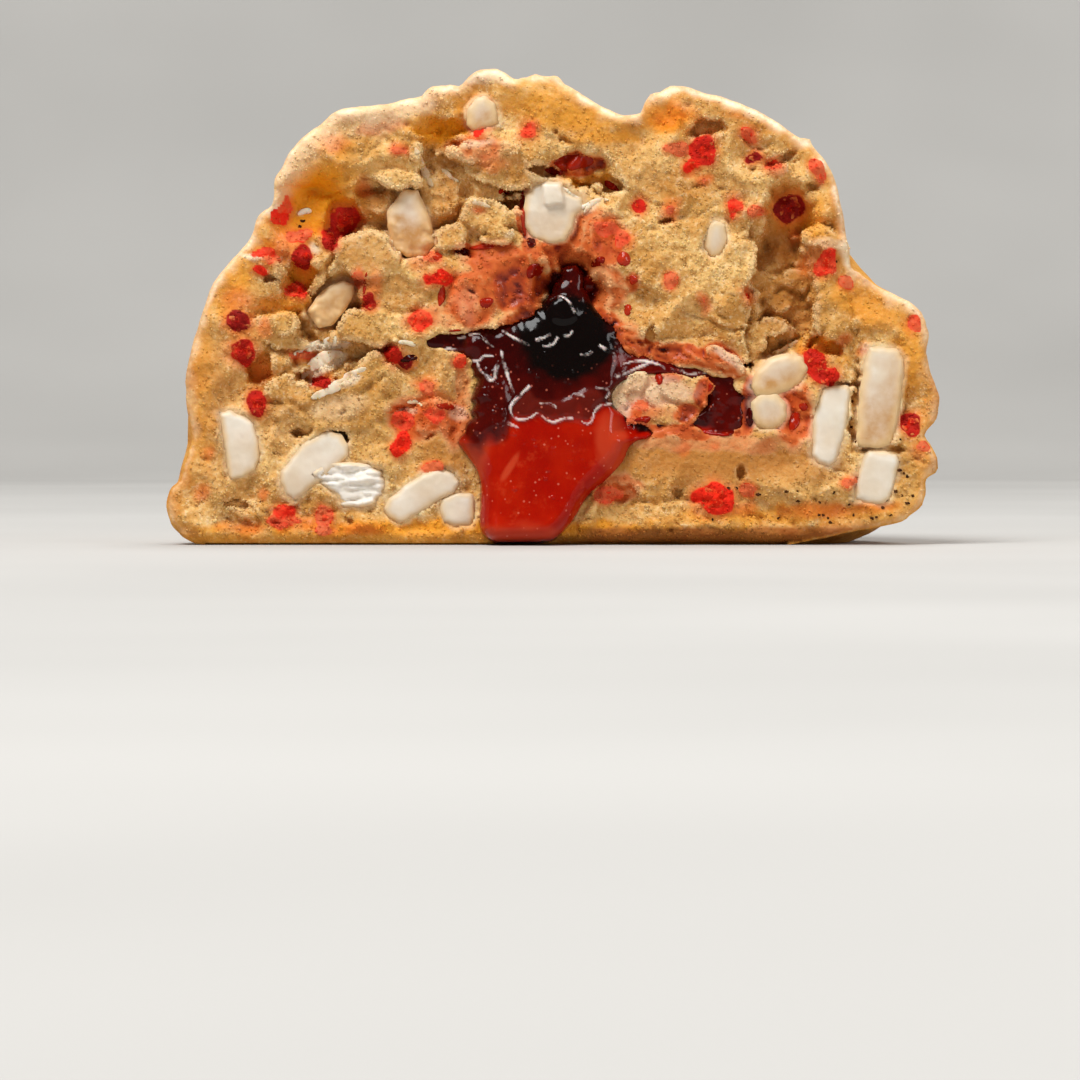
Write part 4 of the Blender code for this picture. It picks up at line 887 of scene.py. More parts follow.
rim_rough = (0.1 + 0.2 * (rough_low + rough_top)) * grain(crust, 1.5, 3, seed=151.0)
crust += outward * (1, 0, 1) * (rim_rough * (1 - near_front) * ease(crust[..., 2] / 1.5))[..., None]
# Behind the dip in the top edge the crust stays under a shallow groove, so that nothing shows over the dip.
over_groove = crust[..., 2] - (40.0 - 0.06 * crust[..., 1] + 0.12 * (crust[..., 0] - 7.6) ** 2)
crust[..., 2] -= 0.5 * (over_groove + np.sqrt(over_groove ** 2 + 0.2)) * ease((crust[..., 1] - 0.2) / 2)
crust[..., 1] += RIM_SETBACK * np.clip(1 - crust[..., 1] / 6, 0, 1) ** 2
crust[..., 2] = np.maximum(crust[..., 2], 0.0)

top = crust[:, CRUST_ROWS].mean(axis=0)
numbers = np.arange((CRUST_COLUMNS + 1) * CRUST_ROWS).reshape(CRUST_COLUMNS + 1, CRUST_ROWS)
top_number = numbers.size
points = [crust[:, :CRUST_ROWS].reshape(-1, 3), top[None]]
faces = []
for a, b in zip(numbers, numbers[1:]):
    faces += np.stack([a[:-1], b[:-1], b[1:], a[1:]], axis=-1).tolist()
    faces.append([a[-1], b[-1], top_number])
base_edge = points_at(np.arange(-32.3, 21.9, 0.4), RIM_SETBACK + 1.2, 0.0)
base_edge[:, 1] += 0.25 * grain(base_edge, 3.0, 2)
points.append(base_edge)
base_numbers = top_number + 1 + np.arange(len(base_edge))
loop = [*numbers[0], top_number, *numbers[-1][::-1], *base_numbers]
so_far = np.vstack(points)
outline = so_far[loop][:, [0, 2]]
face_x, face_z, face_number, face_faces, rim = fill_outline(outline, FACE_CELL)

# The torn face's depth: broad crags, flakes that break in steps, hollows, crumb, and each piece's bed.
flat = points_at(face_x, 0.0, face_z)
ragged = grain(flat, 1.9, 3, seed=11.0)
warped = flat + 0.9 * points_at(grain(flat, 2.4, 3, seed=21.0), 0.0, grain(flat, 2.4, 3, seed=31.0))
rim_outline = outline[: 2 * CRUST_ROWS + 1][::3]
to_crust = away_from(rim_outline, face_x, face_z)
hollow = np.zeros_like(face_x)
for *shape, depth, softness in HOLLOWS:
    hollow = np.maximum(hollow, depth * spot(face_x, face_z, shape, softness, ragged * 0.55))
even = strongest(face_x, face_z, EVEN, ragged * 0.5)
rough = (1 - even) * (0.65 + 0.35 * ease((to_crust - 1.0) / 3))
crags = np.abs(grain(flat, 5.2, seed=np.array((7.0, 0.0, 3.0)))) * 2.4 - 0.42
depth = crags * (0.35 + 0.45 * (1 - even))
depth += 0.34 * terraces(grain(warped, 4.2, 2, seed=41.0) * 2.6, 0.35) * rough
depth += hollow * (1 + 0.25 * grain(warped, 1.5, 2, seed=51.0) * (1 - even))
ragged_x, ragged_z = face_x + 0.36 * (warped[..., 0] - face_x), face_z + 0.36 * (warped[..., 2] - face_z)
# Below each torn ledge the hollow mark also rises, and the material paints shade there.
for drop, reach, *places in LEDGES:
    step = torn_edge(ragged_x, ragged_z, places, reach)
    depth += 0.8 * drop * step
    hollow = np.maximum(hollow, 0.75 * drop * step)
for *shape, stand, softness in FLAKES:
    held = spot(face_x, face_z, shape, softness, ragged * 0.6)
    depth += ((-stand + 0.3 * grain(flat, 1.6, 2, seed=61.0)) - depth) * held
    hollow = hollow * (1 - held) + max(-stand, 0) * held
granules, pores = cell_distance(warped, GRANULE), cell_distance(warped, PORE)
depth += (granules - 0.45) * 0.17 * (0.3 + 0.7 * rough)
depth += 0.5 * ease((0.27 - pores) / 0.14) * rough * ease(grain(flat, 6.0, seed=71.0) * 2 + 0.6)
depth += 0.13 * grain(flat, 0.8, 2, seed=81.0) * (0.3 + 0.7 * rough)
depth -= 0.5 * (np.abs(grain(warped, 1.6, 3, seed=131.0)) - 0.3) * ease(hollow / 1.5) * (1 - even)
# Round each chocolate the crumb comes up to its edge, and behind it lies its bed.
beds, milky = np.zeros_like(face_x), np.zeros_like(face_x)
for outline_of, first, thickness, roundness in chocolate_beds:
    inside = distance_inside(outline_of, face_x, face_z) + 0.14 * ragged
    milky = np.maximum(milky, 0.4 * ease(1 + (inside + 0.25 * ragged) / 0.5))
    near = ease((inside + 0.45) / 0.35) * ease(1 - hollow / 0.9)
    depth += (np.clip(depth, first - 0.02, first + 0.2) - depth) * near
    behind_piece = first + 0.1 + edge_fall(inside, roundness) + 0.14
    depth = np.where(inside > -0.02, np.maximum(depth, behind_piece), depth)
    depth = np.where(inside > 0.6, first + thickness + 0.2, depth)
    beds = np.maximum(beds, ease((inside + 0.5) / 0.4))
# The same for the jam, except at the island of crumb that shows through it.
in_jam = distance_inside(jam_outline, face_x, face_z)
island = spot(face_x, face_z, (10.0, 13.7, 5.2, 2.8, 0), 0.3, 0.9 * ragged)
covered = in_jam * (1 - island)
calm = ease((covered + 0.9) / 0.8) * ease((19 - face_z) / 3)
depth += (np.clip(depth, -0.1, 0.35) - depth) * calm
level, _ = jam_levels(face_x, face_z, np.maximum(in_jam, 0))
depth += (np.maximum(depth, level + 0.6) - depth) * ease((covered - 0.05) / 0.5)
behind_jam = jam_back(face_x, face_z, np.maximum(in_jam, 0)) + 0.2
depth = np.where(covered > 0.9, np.maximum(depth, behind_jam), depth)
beds = np.maximum(beds, ease(covered / 0.3))
# Strawberry swells the crumb a little where it lies in it; then the face is drawn in at its rim and base.
berry, berry_bright_at = np.zeros_like(face_x), np.zeros_like(face_x)
for x, z, width, height, bright in BERRIES:
    held = spot(face_x, face_z, (x, z, width / 2 + 0.1, height / 2 + 0.1, 0), 0.35, ragged * 0.75)
    berry_bright_at = np.where(held > berry, bright, berry_bright_at)
    berry = np.maximum(berry, held)
depth -= berry * (0.12 + 0.3 * grain(flat, 0.7, 2, seed=111.0)) * (hollow < 1.5)
round_edge = RIM_SETBACK * np.clip(1 - to_crust / 0.9, 0, 1) ** 2
tuck = np.clip(1 - face_z / 1.3, 0, 1) ** 2 * (1.2 + RIM_SETBACK) * (0.35 + 0.65 * ease((face_x + 4) / 6))
edge_fade = ease(rim / 0.45) * (0.45 + 0.55 * ease((rim - 0.3) / 2.0))
base_band = ease((1.6 - face_z) / 1.0)
depth = depth * edge_fade * (1 - 0.6 * base_band) + round_edge * (1 - base_band) + tuck * base_band

# The high side of each step leans out over the low side, as torn crumb does.
slope_x, slope_z = np.gradient(blurred(depth, 1), FACE_CELL)
stands = blurred(depth, 2) - depth
proud = np.clip(blurred(depth, 4) - depth, 0, 0.7) * ease(rim / 1.2 - 0.4)
steep = np.sqrt(slope_x**2 + slope_z**2) + 1e-6
lean = 0.35 * proud * ease(steep / 1.2) / steep * (1 - beds)
shifted_x, shifted_z = face_x + slope_x * lean, face_z + slope_z * lean

used = face_number >= 0
face_points = points_at(shifted_x[used], depth[used], shifted_z[used])
names = np.concatenate([loop, np.arange(len(so_far), len(so_far) + used.sum())])
faces += [[int(names[k]) for k in face][::-1] for face in face_faces]
points.append(face_points)

# The underside: flat, with shallow pits, and joined to the lower edges of the crust and the face.
floor_loop = [*numbers[:, 0], *base_numbers]
so_far = np.vstack(points)
floor_outline = so_far[floor_loop][:, [0, 1]]
under_x, under_y, under_number, under_faces, under_in = fill_outline(floor_outline, UNDERSIDE_CELL)
under_used = under_number >= 0
under = points_at(under_x, under_y, 0.0)
under[..., 2] = np.clip(0.25 + 0.3 * grain(under, 4.0, 3, seed=91.0), 0.0, 0.6) * ease(under_in / 3)
names = np.concatenate([floor_loop, np.arange(len(so_far), len(so_far) + under_used.sum())])
faces += [[int(names[k]) for k in face] for face in under_faces]
points.append(under[under_used])
dough_points = np.vstack(points)


def dough_look(flow):
    hollow, amber, soaked, stain, baked, edge = (
        flow.attribute(n) for n in ("hollow", "amber", "soaked", "stain", "baked", "edge")
    )
    berry, bright, milky, toasted, under, crest = (
        flow.attribute(n) for n in ("berry", "bright", "milky", "toasted", "under", "crest")
    )
    broad, middling, fine = flow.speckle(6, 3), flow.speckle(1.6, 4, 0.6), flow.speckle(0.4, 3, 0.7)
    crumb = broad.span(0.35, 0.65).mix(shade("#CC944C"), shade("#E8BC76"))
    crumb = (middling.span(0.5, 0.74) * 0.45).mix(crumb, shade("#F8DCA6"))
    crumb = (middling.span(0.5, 0.28) * 0.5).mix(crumb, shade("#BE7C30"))
    crumb = (fine.span(0.52, 0.36) * 0.34).mix(crumb, shade("#B47226"))
    crumb = (fine.span(0.54, 0.7) * 0.4).mix(crumb, shade("#FBE6BC"))
    crumb = (flow.speckle(13, 2).span(0.5, 0.62) * 0.5).mix(crumb, shade("#C0863A"))
    # Painted shade: the deeper the crumb lies in a hollow or below a ledge, the browner it is painted.
    crumb = (hollow.span(0.15, 1.0) * 0.6).mix(crumb, shade("#B8742A"))
    # Darker, redder crumb: partly butter that soaked in, partly painted shade in cavities and under lumps.
    crumb = (toasted * 0.8).mix(crumb, shade("#B4702C"))
    # Painted highlight on the crests of the crumb and painted shade in its creases; the crests are also paler as
    # drier crumb.
    crumb = (crest.span(0.56, 0.95) * 0.3).mix(crumb, shade("#FFE2B2"))
    crumb = (crest.span(0.45, 0.05) * 0.42).mix(crumb, shade("#A05E1A"))
    crumb = (amber * middling.span(0.05, 0.5)).mix(crumb, shade("#E8960E"))
    # Painted shade: amber crumb deep in a hollow is painted a deeper orange.
    crumb = (amber * hollow.span(0.4, 1.0) * 0.7).mix(crumb, shade("#CC6C06"))
    # Soaked crumb is painted paler on crests and redder in creases, partly as painted light and shade.
    wet = soaked + (middling - 0.5) * 0.5 + (broad - 0.5) * 0.3 - (crest - 0.5) * 0.9
    stops = [
        (0.0, shade("#ECBC88")), (0.3, shade("#DA9460")), (0.5, shade("#CA6228")),
        (0.68, shade("#AE420E")), (0.85, shade("#7C1E04")), (1.0, shade("#440602")),
    ]
    soaked_tone = flow.node("ShaderNodeValToRGB", {"stops": stops}, {"Fac": wet * 0.9})
    crumb = soaked.span(0.1, 0.55).mix(crumb, soaked_tone)
    crumb = (stain * (0.45 + middling * 0.9)).mix(crumb, shade("#DE5A1C"))
    skin = broad.span(0.3, 0.7).mix(shade("#C27822"), shade("#DE9A3A"))
    skin = (middling.span(0.45, 0.75) * 0.5).mix(skin, shade("#EAB462"))
    skin = (middling.span(0.5, 0.25) * 0.5).mix(skin, shade("#A05C14"))
    skin = (fine.span(0.54, 0.7) * 0.3).mix(skin, shade("#F2C88A"))
    tone = baked.span(0.1, 0.9).mix(crumb, skin)
    # The pale rim: partly the crust's own pale edge, partly a painted highlight that grows stronger higher up.
    tone = (edge * (0.6 + middling * 0.8)).mix(tone, shade("#FBE4C2"))
    tone = (under * (0.6 + middling * 0.6)).mix(tone, shade("#8E4C12"))
    # Milky white: white chocolate melted into the crumb, and in places painted light on the top rim and on crumb in
    # shade.
    tone = (milky * (0.35 + middling * 0.9)).mix(tone, shade("#EAD8BA"))
    red = (bright + (middling - 0.5) * 0.9).span(0.0, 1.0).mix(shade("#7E0200"), shade("#E42206"))
    red = ((bright - 1.0) * 1.5 + (middling - 0.5) * 0.8).span(0.0, 0.5).mix(red, shade("#DA6A3E"))
    red = (fine.span(0.55, 0.75) * 0.28).mix(red, shade("#F05A2C"))
    tone = (berry + (middling - 0.5) * 0.8).span(0.3, 0.85).mix(tone, red)
    coarse = flow.cells(0.5) * -0.6 + fine * 0.9
    loose = (1 - soaked.span(0.3, 0.8) * 0.8) * (1 - baked * 0.3)
    dry = 0.8 - soaked.span(0.4, 1.0) * 0.38
    return {
        "Base Color": tone,
        "Roughness": dry - amber * 0.2 - baked * 0.1 + (fine - 0.5) * 0.1,
        "Coat Weight": soaked.span(0.6, 1.0) * 0.3,
        "Normal": flow.bump(coarse * loose, 0.2, 0.75),
    }


dough_finish = new_material(
    "torn_dough",
    {
        "Subsurface Weight": 0.18,
        "Subsurface Scale": 0.001,
        "Subsurface Radius": (1.2, 0.55, 0.2),
        "Coat Roughness": 0.12,
        "Specular IOR Level": 0.22,
    },
    dough_look,
)
dough = new_piece("dough_body", dough_points, faces, dough_finish)
crust_count = len(dough_points) - used.sum() - under_used.sum()


def on_dough(face_values, crust_values, under_value):
    """One number for each point of the dough: crust and edges first, then the torn face, then the underside."""
    made = np.full(len(dough_points), float(under_value))
    made[:crust_count] = crust_values
    made[crust_count:crust_count + used.sum()] = face_values[used]
    return made


def halo(shapes, softness, grow):
    """The highest of several upright spots, given by their whole width and height."""
    found = np.zeros_like(face_x)
    for x, z, width, height, *_ in shapes:
        shape = (x, z, width / 2 + grow, height / 2 + grow, 0)
        found = np.maximum(found, spot(face_x, face_z, shape, softness, ragged * 0.6))
    return found


crust_points = dough_points[:crust_count]
face_baked = 0.65 * ease(1 - (to_crust + 1.0 * ragged) / 1.8) + 0.35 * ease(1 - (to_crust + 1.5 * ragged) / 5)
# The pale rim of the face and the crust: partly the crust's own pale edge, partly painted highlight, stronger towards
# the top.
rim_width = 1.2 + 2.2 * ease((-8 - face_x) / 8) * ease((face_z - 30) / 5)
pale = 0.55 * ease(1 - (to_crust + 0.8 * ragged) / rim_width) + 0.4 * ease(1 - (to_crust + 0.4 * ragged) / 0.6)
face_rim_pale_and_lit = pale * (1 - base_band) * (0.35 + 0.65 * ease((face_z - 14) / 14))
crust_rim_pale_and_lit = 0.4 * ease(1 - (crust_points[:, 1] - RIM_SETBACK) / 0.8) * ease((crust_points[:, 2] - 6) / 20)
standing = (0.35 + 0.65 * ease(stands / 0.25)) * (1 - ease((beds - 0.2) / 0.5)) * ease((rim - 0.3) / 0.6)
# Each: the mark, its values on the torn face, on the crust and on the underside.
for name, on_face, on_crust, on_base in (
    ("hollow", np.clip(hollow / 4.2, 0, 1), 0, 0),
    ("amber", strongest(face_x, face_z, AMBER, ragged * 0.7, 0.9), 0, 0),
    ("soaked", np.clip(strongest(face_x, face_z, SOAKED, ragged * 0.5, 0.7), 0, 1.3), 0, 0),
    ("stain", np.maximum(0.8 * halo(BERRIES, 0.9, 0.35), 0.55 * halo(STAINS, 1.2, 0.1)), 0, 0),
    ("baked", np.maximum(face_baked, 0.8 * base_band), 1, 1),
    ("edge", face_rim_pale_and_lit, crust_rim_pale_and_lit, 0),
    ("berry", berry, 0, 0),
    ("bright", berry_bright_at, 0, 0),
    ("milky", np.maximum(milky, strongest(face_x, face_z, SMEARED_AND_LIT, ragged * 0.35, 0.6)), 0, 0),
    ("toasted", strongest(face_x, face_z, TOASTED_AND_SHADED, ragged * 0.6, 1.0), 0, 0),
    ("under", ease((1.9 - face_z + 0.2 * ragged) / 0.5) * ease((face_x - 1) / 3), 0, 0),
    ("crest", 0.5 + np.clip(stands / 0.9, -0.5, 0.5), 0.5, 0),
    ("crumbly", rough * standing, 0, 0),
):
    mark(dough, name, on_dough(on_face, on_crust, on_base))
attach(dough, "root")
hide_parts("dough")

# Crumbs. Bits of the same baked dough, a tenth to half a millimetre across, that the tear left standing on the
# crumb: they are half sunk in it and stuck to it, thick where the face is coarse and few where it is smooth.
# Each: name, seed, how many to a square metre, smallest and largest radius in millimetres, subdivisions.
CRUMBS = (
    ("fine_crumbs", 4, 5.0e6, 0.06, 0.18, 1),
    ("more_fine_crumbs", 14, 5.0e6, 0.06, 0.18, 1),
    ("coarse_crumbs", 9, 2.6e5, 0.12, 0.27, 2),
)
WHOLE_TURN = 6.3
CRUMB_ROUGHNESS = 0.00005


def crumb_tree(seed, low, high, lump_detail):
    """Scatters lumps over a surface where its attribute crumbly is high, half sunk in it."""
    tree = bpy.data.node_groups.new("scattered_crumbs", "GeometryNodeTree")
    tree.interface.new_socket("Surface", in_out="INPUT", socket_type="NodeSocketGeometry")
    tree.interface.new_socket("Density", in_out="INPUT", socket_type="NodeSocketFloat")
    tree.interface.new_socket("Crumbs", in_out="OUTPUT", socket_type="NodeSocketGeometry")
    given, result = tree.nodes.new("NodeGroupInput"), tree.nodes.new("NodeGroupOutput")

    def add(kind, settings=None, values=None, links=None):
        made = tree.nodes.new(kind)
        for name, value in (settings or {}).items():
            setattr(made, name, value)
        for name, value in (values or {}).items():
            made.inputs[name].default_value = value
        for name, socket in (links or {}).items():
            tree.links.new(socket, made.inputs[name])
        return made.outputs

    crumbly = add("GeometryNodeInputNamedAttribute", {"data_type": "FLOAT"}, {"Name": "crumbly"})["Attribute"]
    amount = add("ShaderNodeMath", {"operation": "MULTIPLY"}, {}, {0: crumbly, 1: given.outputs["Density"]})[0]
    places = add(
        "GeometryNodeDistributePointsOnFaces", {"distribute_method": "RANDOM"}, {"Seed": seed},
        {"Mesh": given.outputs["Surface"], "Density": amount},
    )["Points"]
    lump = add("GeometryNodeMeshIcoSphere", {}, {"Radius": MILLIMETRE, "Subdivisions": lump_detail})["Mesh"]
    turn, size = (
        add("FunctionNodeRandomValue", {"data_type": "FLOAT_VECTOR"}, {0: least, 1: most, "Seed": seed + more})[0]
        for least, most, more in (
            ((0, 0, 0), (WHOLE_TURN,) * 3, 1),
            ((low, low, low * 0.6), (high, high, high), 2),
        )
    )
    placed = add(
        "GeometryNodeInstanceOnPoints", {}, {}, {"Points": places, "Instance": lump, "Rotation": turn, "Scale": size},
    )[0]
    real = add("GeometryNodeRealizeInstances", {}, {}, {0: placed})[0]
    finish = add("GeometryNodeSetMaterial", {}, {"Material": dough_finish}, {0: real})[0]
    tree.links.new(finish, result.inputs[0])
    return tree


for name, seed, density, low, high, lump_detail in CRUMBS:
    crumbs = bpy.data.objects.new(name, dough.data.copy())
    bpy.context.scene.collection.objects.link(crumbs)
    scatter = crumbs.modifiers.new("scatter", "NODES")
    scatter.node_group = crumb_tree(seed, low, high, lump_detail)
    items = scatter.node_group.interface.items_tree
    scatter[next(item.identifier for item in items if item.name == "Density")] = density
    bpy.context.view_layer.update()
    made = bpy.data.meshes.new_from_object(crumbs.evaluated_get(bpy.context.evaluated_depsgraph_get()))
    crumbs.modifiers.clear()
    crumbs.data = made
    made.shade_smooth()
    crumb_co = np.empty(len(made.vertices) * 3, np.float32)
    made.vertices.foreach_get("co", crumb_co)
    crumb_co = crumb_co.reshape(-1, 3)
    uneven = [grain(crumb_co * 1000, 0.35, 2, seed=k) for k in (1.0, 2.0, 3.0)]
    crumb_co += CRUMB_ROUGHNESS * np.stack(uneven, axis=-1)
    made.vertices.foreach_set("co", crumb_co.reshape(-1))
    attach(crumbs, "root")
    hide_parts("dough")

# Strawberry bits. Freeze-dried strawberry broken to 0.5 to 3.5 mm and kneaded into the dough: rough,
# porous lumps, fused to the torn face, some baked dark and some still bright.


def berry_look(flow):
    bright, rind = flow.attribute("bright"), flow.attribute("rind")
    middling, fine = flow.speckle(0.9, 4, 0.65), flow.speckle(0.25, 3, 0.7)
    tone = (bright + (middling - 0.5) * 1.6).span(-0.1, 1.0).mix(shade("#7E0200"), shade("#E42206"))
    tone = ((bright + 0.2) * flow.cells(0.34).span(0.35, 0.1) * 0.65).mix(tone, shade("#F86A3C"))
    tone = (fine.span(0.58, 0.76) * 0.35).mix(tone, shade("#F08A5A"))
    tone = (rind * (0.35 + middling.span(0.38, 0.6) * 0.65)).mix(tone, shade("#D87C44"))
    tone = ((bright - 1.0) * 1.5 + (middling - 0.5) * 0.8).span(0.0, 0.7).mix(tone, shade("#DA6A3E"))
    return {
        "Base Color": tone,
        "Roughness": 0.4 + fine * 0.3,
        "Normal": flow.bump(middling * 0.4 + fine * 0.6 - flow.cells(0.34) * 0.8, 0.16, 0.7),
    }


berry_finish = new_material(
    "dried_strawberry",
    {
        "Subsurface Weight": 0.15,
        "Subsurface Scale": 0.001,
        "Subsurface Radius": (1.0, 0.25, 0.1),
        "Specular IOR Level": 0.1,
    },
    berry_look,
)


def face_depth_at(x, z):
    """Depth of the torn face at places on it, between those of the grid it was made on."""
    i, j = (
        np.clip((v - start) / FACE_CELL, 0, n - 1.001)
        for v, start, n in zip((x, z), (face_x[0, 0], face_z[0, 0]), depth.shape)
    )
    a, b = i.astype(int), j.astype(int)
    u, v = i - a, j - b
    near_side = depth[a, b] * (1 - u) * (1 - v) + depth[a + 1, b] * u * (1 - v)
    return near_side + depth[a, b + 1] * (1 - u) * v + depth[a + 1, b + 1] * u * v


def ball(subdivisions):
    """Points and faces of a ball with a radius of 1."""
    bm = bmesh.new()
    bmesh.ops.create_icosphere(bm, subdivisions=subdivisions, radius=1.0)
    made = np.array([v.co for v in bm.verts]), [[v.index for v in f.verts] for f in bm.faces]
    bm.free()
    return made


def joined(bodies):
    """One body of several: all their points, and their faces with the numbers that the points have there."""
    faces, start = [], 0
    for points, found in bodies:
        faces += [[int(v) + start for v in face] for face in found]
        start += len(points)
    return np.vstack([points for points, _ in bodies]), faces


berry_bodies, berry_bright, berry_rind = [], [], []
for count, (x, z, width, height, bright) in enumerate(BERRIES):
    lump, lump_faces = ball(5 if width + height > 3.2 else 4)
    own = count * 7.3
    pitted = 0.3 * grain(lump * (width, 1.4, height) + own, 0.45, 2)
    lump *= (1 + 0.75 * grain(lump + own, 0.9, 2) + pitted)[:, None]
    bx, bz = x + lump[:, 0] * width * 0.46, z + lump[:, 2] * height * 0.46
    out = lump[:, 0] ** 2 + lump[:, 2] ** 2
    stand = (0.02 + 0.07 * min(width, height)) * (1 - 1.3 * out)
    stand = stand + 0.3 * grain(points_at(bx, 0.0, bz), 0.7, 3, seed=141.0) - 0.2 * max(bright - 1, 0)
    by = face_depth_at(bx, bz) + np.where(lump[:, 1] < 0, -stand * ease(-lump[:, 1] * 3), 0.5 * lump[:, 1]) + 0.1
    berry_bodies.append((points_at(bx, by, bz), lump_faces))
    berry_bright.append(np.full(len(lump), bright))
    berry_rind.append(ease((out - 0.1) / 0.9))
berries = new_piece("strawberry_bits", *joined(berry_bodies), berry_finish)
mark(berries, "bright", np.concatenate(berry_bright))
mark(berries, "rind", np.concatenate(berry_rind))
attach(berries, "root")
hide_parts("dough")

# Jam beads. Drops and films of the same jam, drawn out when the cookie was pulled apart and left wet on the crumb.
# Each: x, z, half width, half height, turn, how dark (0 is clear red), how filmy.
BEADS = (
    (1.8, 35.7, 1.9, 0.75, 10, 0.35, 0.5), (0.2, 34.9, 0.9, 0.35, -10, 0.5, 0.2),
    (-2.0, 28.2, 0.45, 0.5, 0, 0.9, 0.0), (-1.2, 28.9, 0.3, 0.3, 0, 0.6, 0.2),
    (-8.5, 27.4, 0.7, 0.35, 10, 0.7, 0.1), (-6.6, 27.8, 1.2, 0.26, 4, 0.2, 0.7),
    (-2.75, 31.0, 0.3, 2.2, 4, 0.0, 1.0), (7.5, 24.7, 0.42, 0.42, 0, 0.1, 0.6),
    (4.2, 26.4, 0.7, 0.45, 20, 0.5, 0.3), (7.0, 22.0, 0.35, 0.5, 0, 0.1, 0.9),
    (6.6, 26.7, 0.6, 0.7, 0, 0.0, 1.0), (23.4, 12.9, 0.42, 0.4, 0, 0.3, 0.6),
    (22.6, 11.6, 0.5, 0.9, -20, 0.3, 0.3), (19.8, 13.7, 1.0, 0.3, 0, 0.0, 1.0),
    (18.4, 12.0, 0.4, 0.9, 0, 0.8, 0.1), (16.6, 14.0, 0.4, 0.55, 0, 0.7, 0.4),
    (-13.4, 17.4, 0.8, 0.35, 15, 0.9, 0.0), (-10.8, 26.9, 0.5, 0.4, 0, 0.0, 0.8),
    (5.4, 33.6, 0.8, 0.35, -30, 0.3, 0.3), (-9.2, 19.9, 0.7, 0.25, 10, 0.4, 0.4),
    (-4.6, 33.0, 0.6, 0.3, 10, 0.3, 0.3), (-9.9, 12.9, 0.8, 0.35, -10, 0.3, 0.5),
    (8.3, 11.6, 0.9, 0.4, 10, 0.4, 0.2), (9.9, 15.6, 0.4, 0.6, 0, 0.3, 0.3),
    (15.0, 14.4, 0.6, 0.8, 20, 0.3, 0.3), (-10.4, 23.2, 0.35, 0.9, -10, 0.2, 0.5),
    (-17.6, 24.0, 0.22, 1.3, -10, 0.1, 0.7), (-6.2, 22.6, 0.7, 0.5, 20, 0.3, 0.4),
    (-1.6, 25.6, 0.9, 0.6, 30, 0.5, 0.2), (3.2, 24.2, 0.6, 0.9, -10, 0.6, 0.3),
)
bead_bodies, bead_marks = [], []
for count, (x, z, half_x, half_z, turn, dark, filmy) in enumerate(BEADS):
    drop, drop_faces = ball(4)
    drop *= (1 + 0.3 * grain(drop + count * 5.1, 1.1, 2))[:, None]
    c, s = math.cos(math.radians(turn)), math.sin(math.radians(turn))
    bx = x + c * drop[:, 0] * half_x - s * drop[:, 2] * half_z
    bz = z + s * drop[:, 0] * half_x + c * drop[:, 2] * half_z
    by = face_depth_at(bx, bz) + 0.05 + drop[:, 1] * (0.16 + 0.35 * min(half_x, half_z))
    bead_bodies.append((points_at(bx, by, bz), drop_faces))
    bead_marks.append(np.tile((dark, 0.6 * filmy, 0.0), (len(drop), 1)))
beads = new_piece("jam_beads", *joined(bead_bodies), jam_finish)
for name, column in (("deep", 0), ("film", 1), ("core", 2), ("pane", 2), ("fold", 2)):
    mark(beads, name, np.vstack(bead_marks)[:, column])
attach(beads, "root")
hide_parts("jam")

# Shards. Thin curls that broke off the white chocolate and some dry flakes of dough lie on the crumb, stuck to it.
# Each: width, whiteness (0 is dough), places along it.
SHARDS = (
    (0.8, 0.9, (-24.2, 17.8), (-23.0, 18.3), (-21.6, 18.9), (-20.2, 19.1), (-19.0, 18.9)),
    (1.1, 0.8, (-23.5, 15.5), (-23.0, 16.3), (-21.8, 17.2), (-20.6, 17.8), (-19.6, 17.8)),
    (0.9, 0.7, (-22.5, 13.7), (-21.2, 14.3), (-19.9, 15.0), (-18.6, 15.9), (-17.4, 16.5)),
    (0.5, 1.0, (-23.9, 30.9), (-23.2, 31.25), (-22.6, 31.2)),
    (0.7, 0.35, (-12.8, 37.0), (-12.3, 35.6), (-11.7, 34.3), (-11.2, 33.5)),
    (0.5, 0.5, (-10.4, 35.2), (-9.6, 34.4), (-8.8, 34.0)),
    (0.7, 0.2, (20.6, 17.9), (21.8, 18.25), (23.0, 19.1)),
    (0.5, 1.0, (1.0, 33.3), (1.8, 32.7), (2.6, 32.0)),
    (0.4, 1.0, (-0.6, 31.2), (1.0, 31.5), (2.7, 31.5), (3.7, 32.2)),
    (1.3, 1.0, (-0.9, 33.0), (0.1, 33.0), (1.1, 33.2)),
    (0.4, 0.9, (0.2, 28.9), (0.8, 28.6), (1.3, 28.7)),
    (0.5, 0.7, (2.9, 31.0), (3.6, 31.8), (4.4, 32.2), (5.2, 32.2)),
    (0.5, 0.4, (-8.2, 32.3), (-7.0, 31.9), (-5.8, 31.5)),
    (0.45, 0.6, (-13.6, 13.3), (-12.9, 13.4), (-12.2, 13.0)),
    (0.5, 0.8, (-14.4, 18.9), (-13.6, 18.9), (-12.8, 18.6)),
    (0.6, 0.9, (-21.8, 6.9), (-20.2, 7.3), (-18.2, 7.3)),
)


def shard_look(flow):
    white = flow.attribute("white")
    middling, fine = flow.speckle(0.8, 4, 0.6), flow.speckle(0.25, 3)
    tone = middling.span(0.3, 0.7).mix(shade("#E6CDAE"), shade("#F2E4D2"))
    tone = (1.0 - white).mix(tone, shade("#E0AE74"))
    return {
        "Base Color": tone,
        "Roughness": 0.35 + fine * 0.25,
        "Normal": flow.bump(middling * 0.5 + fine * 0.4, 0.08, 0.5),
    }


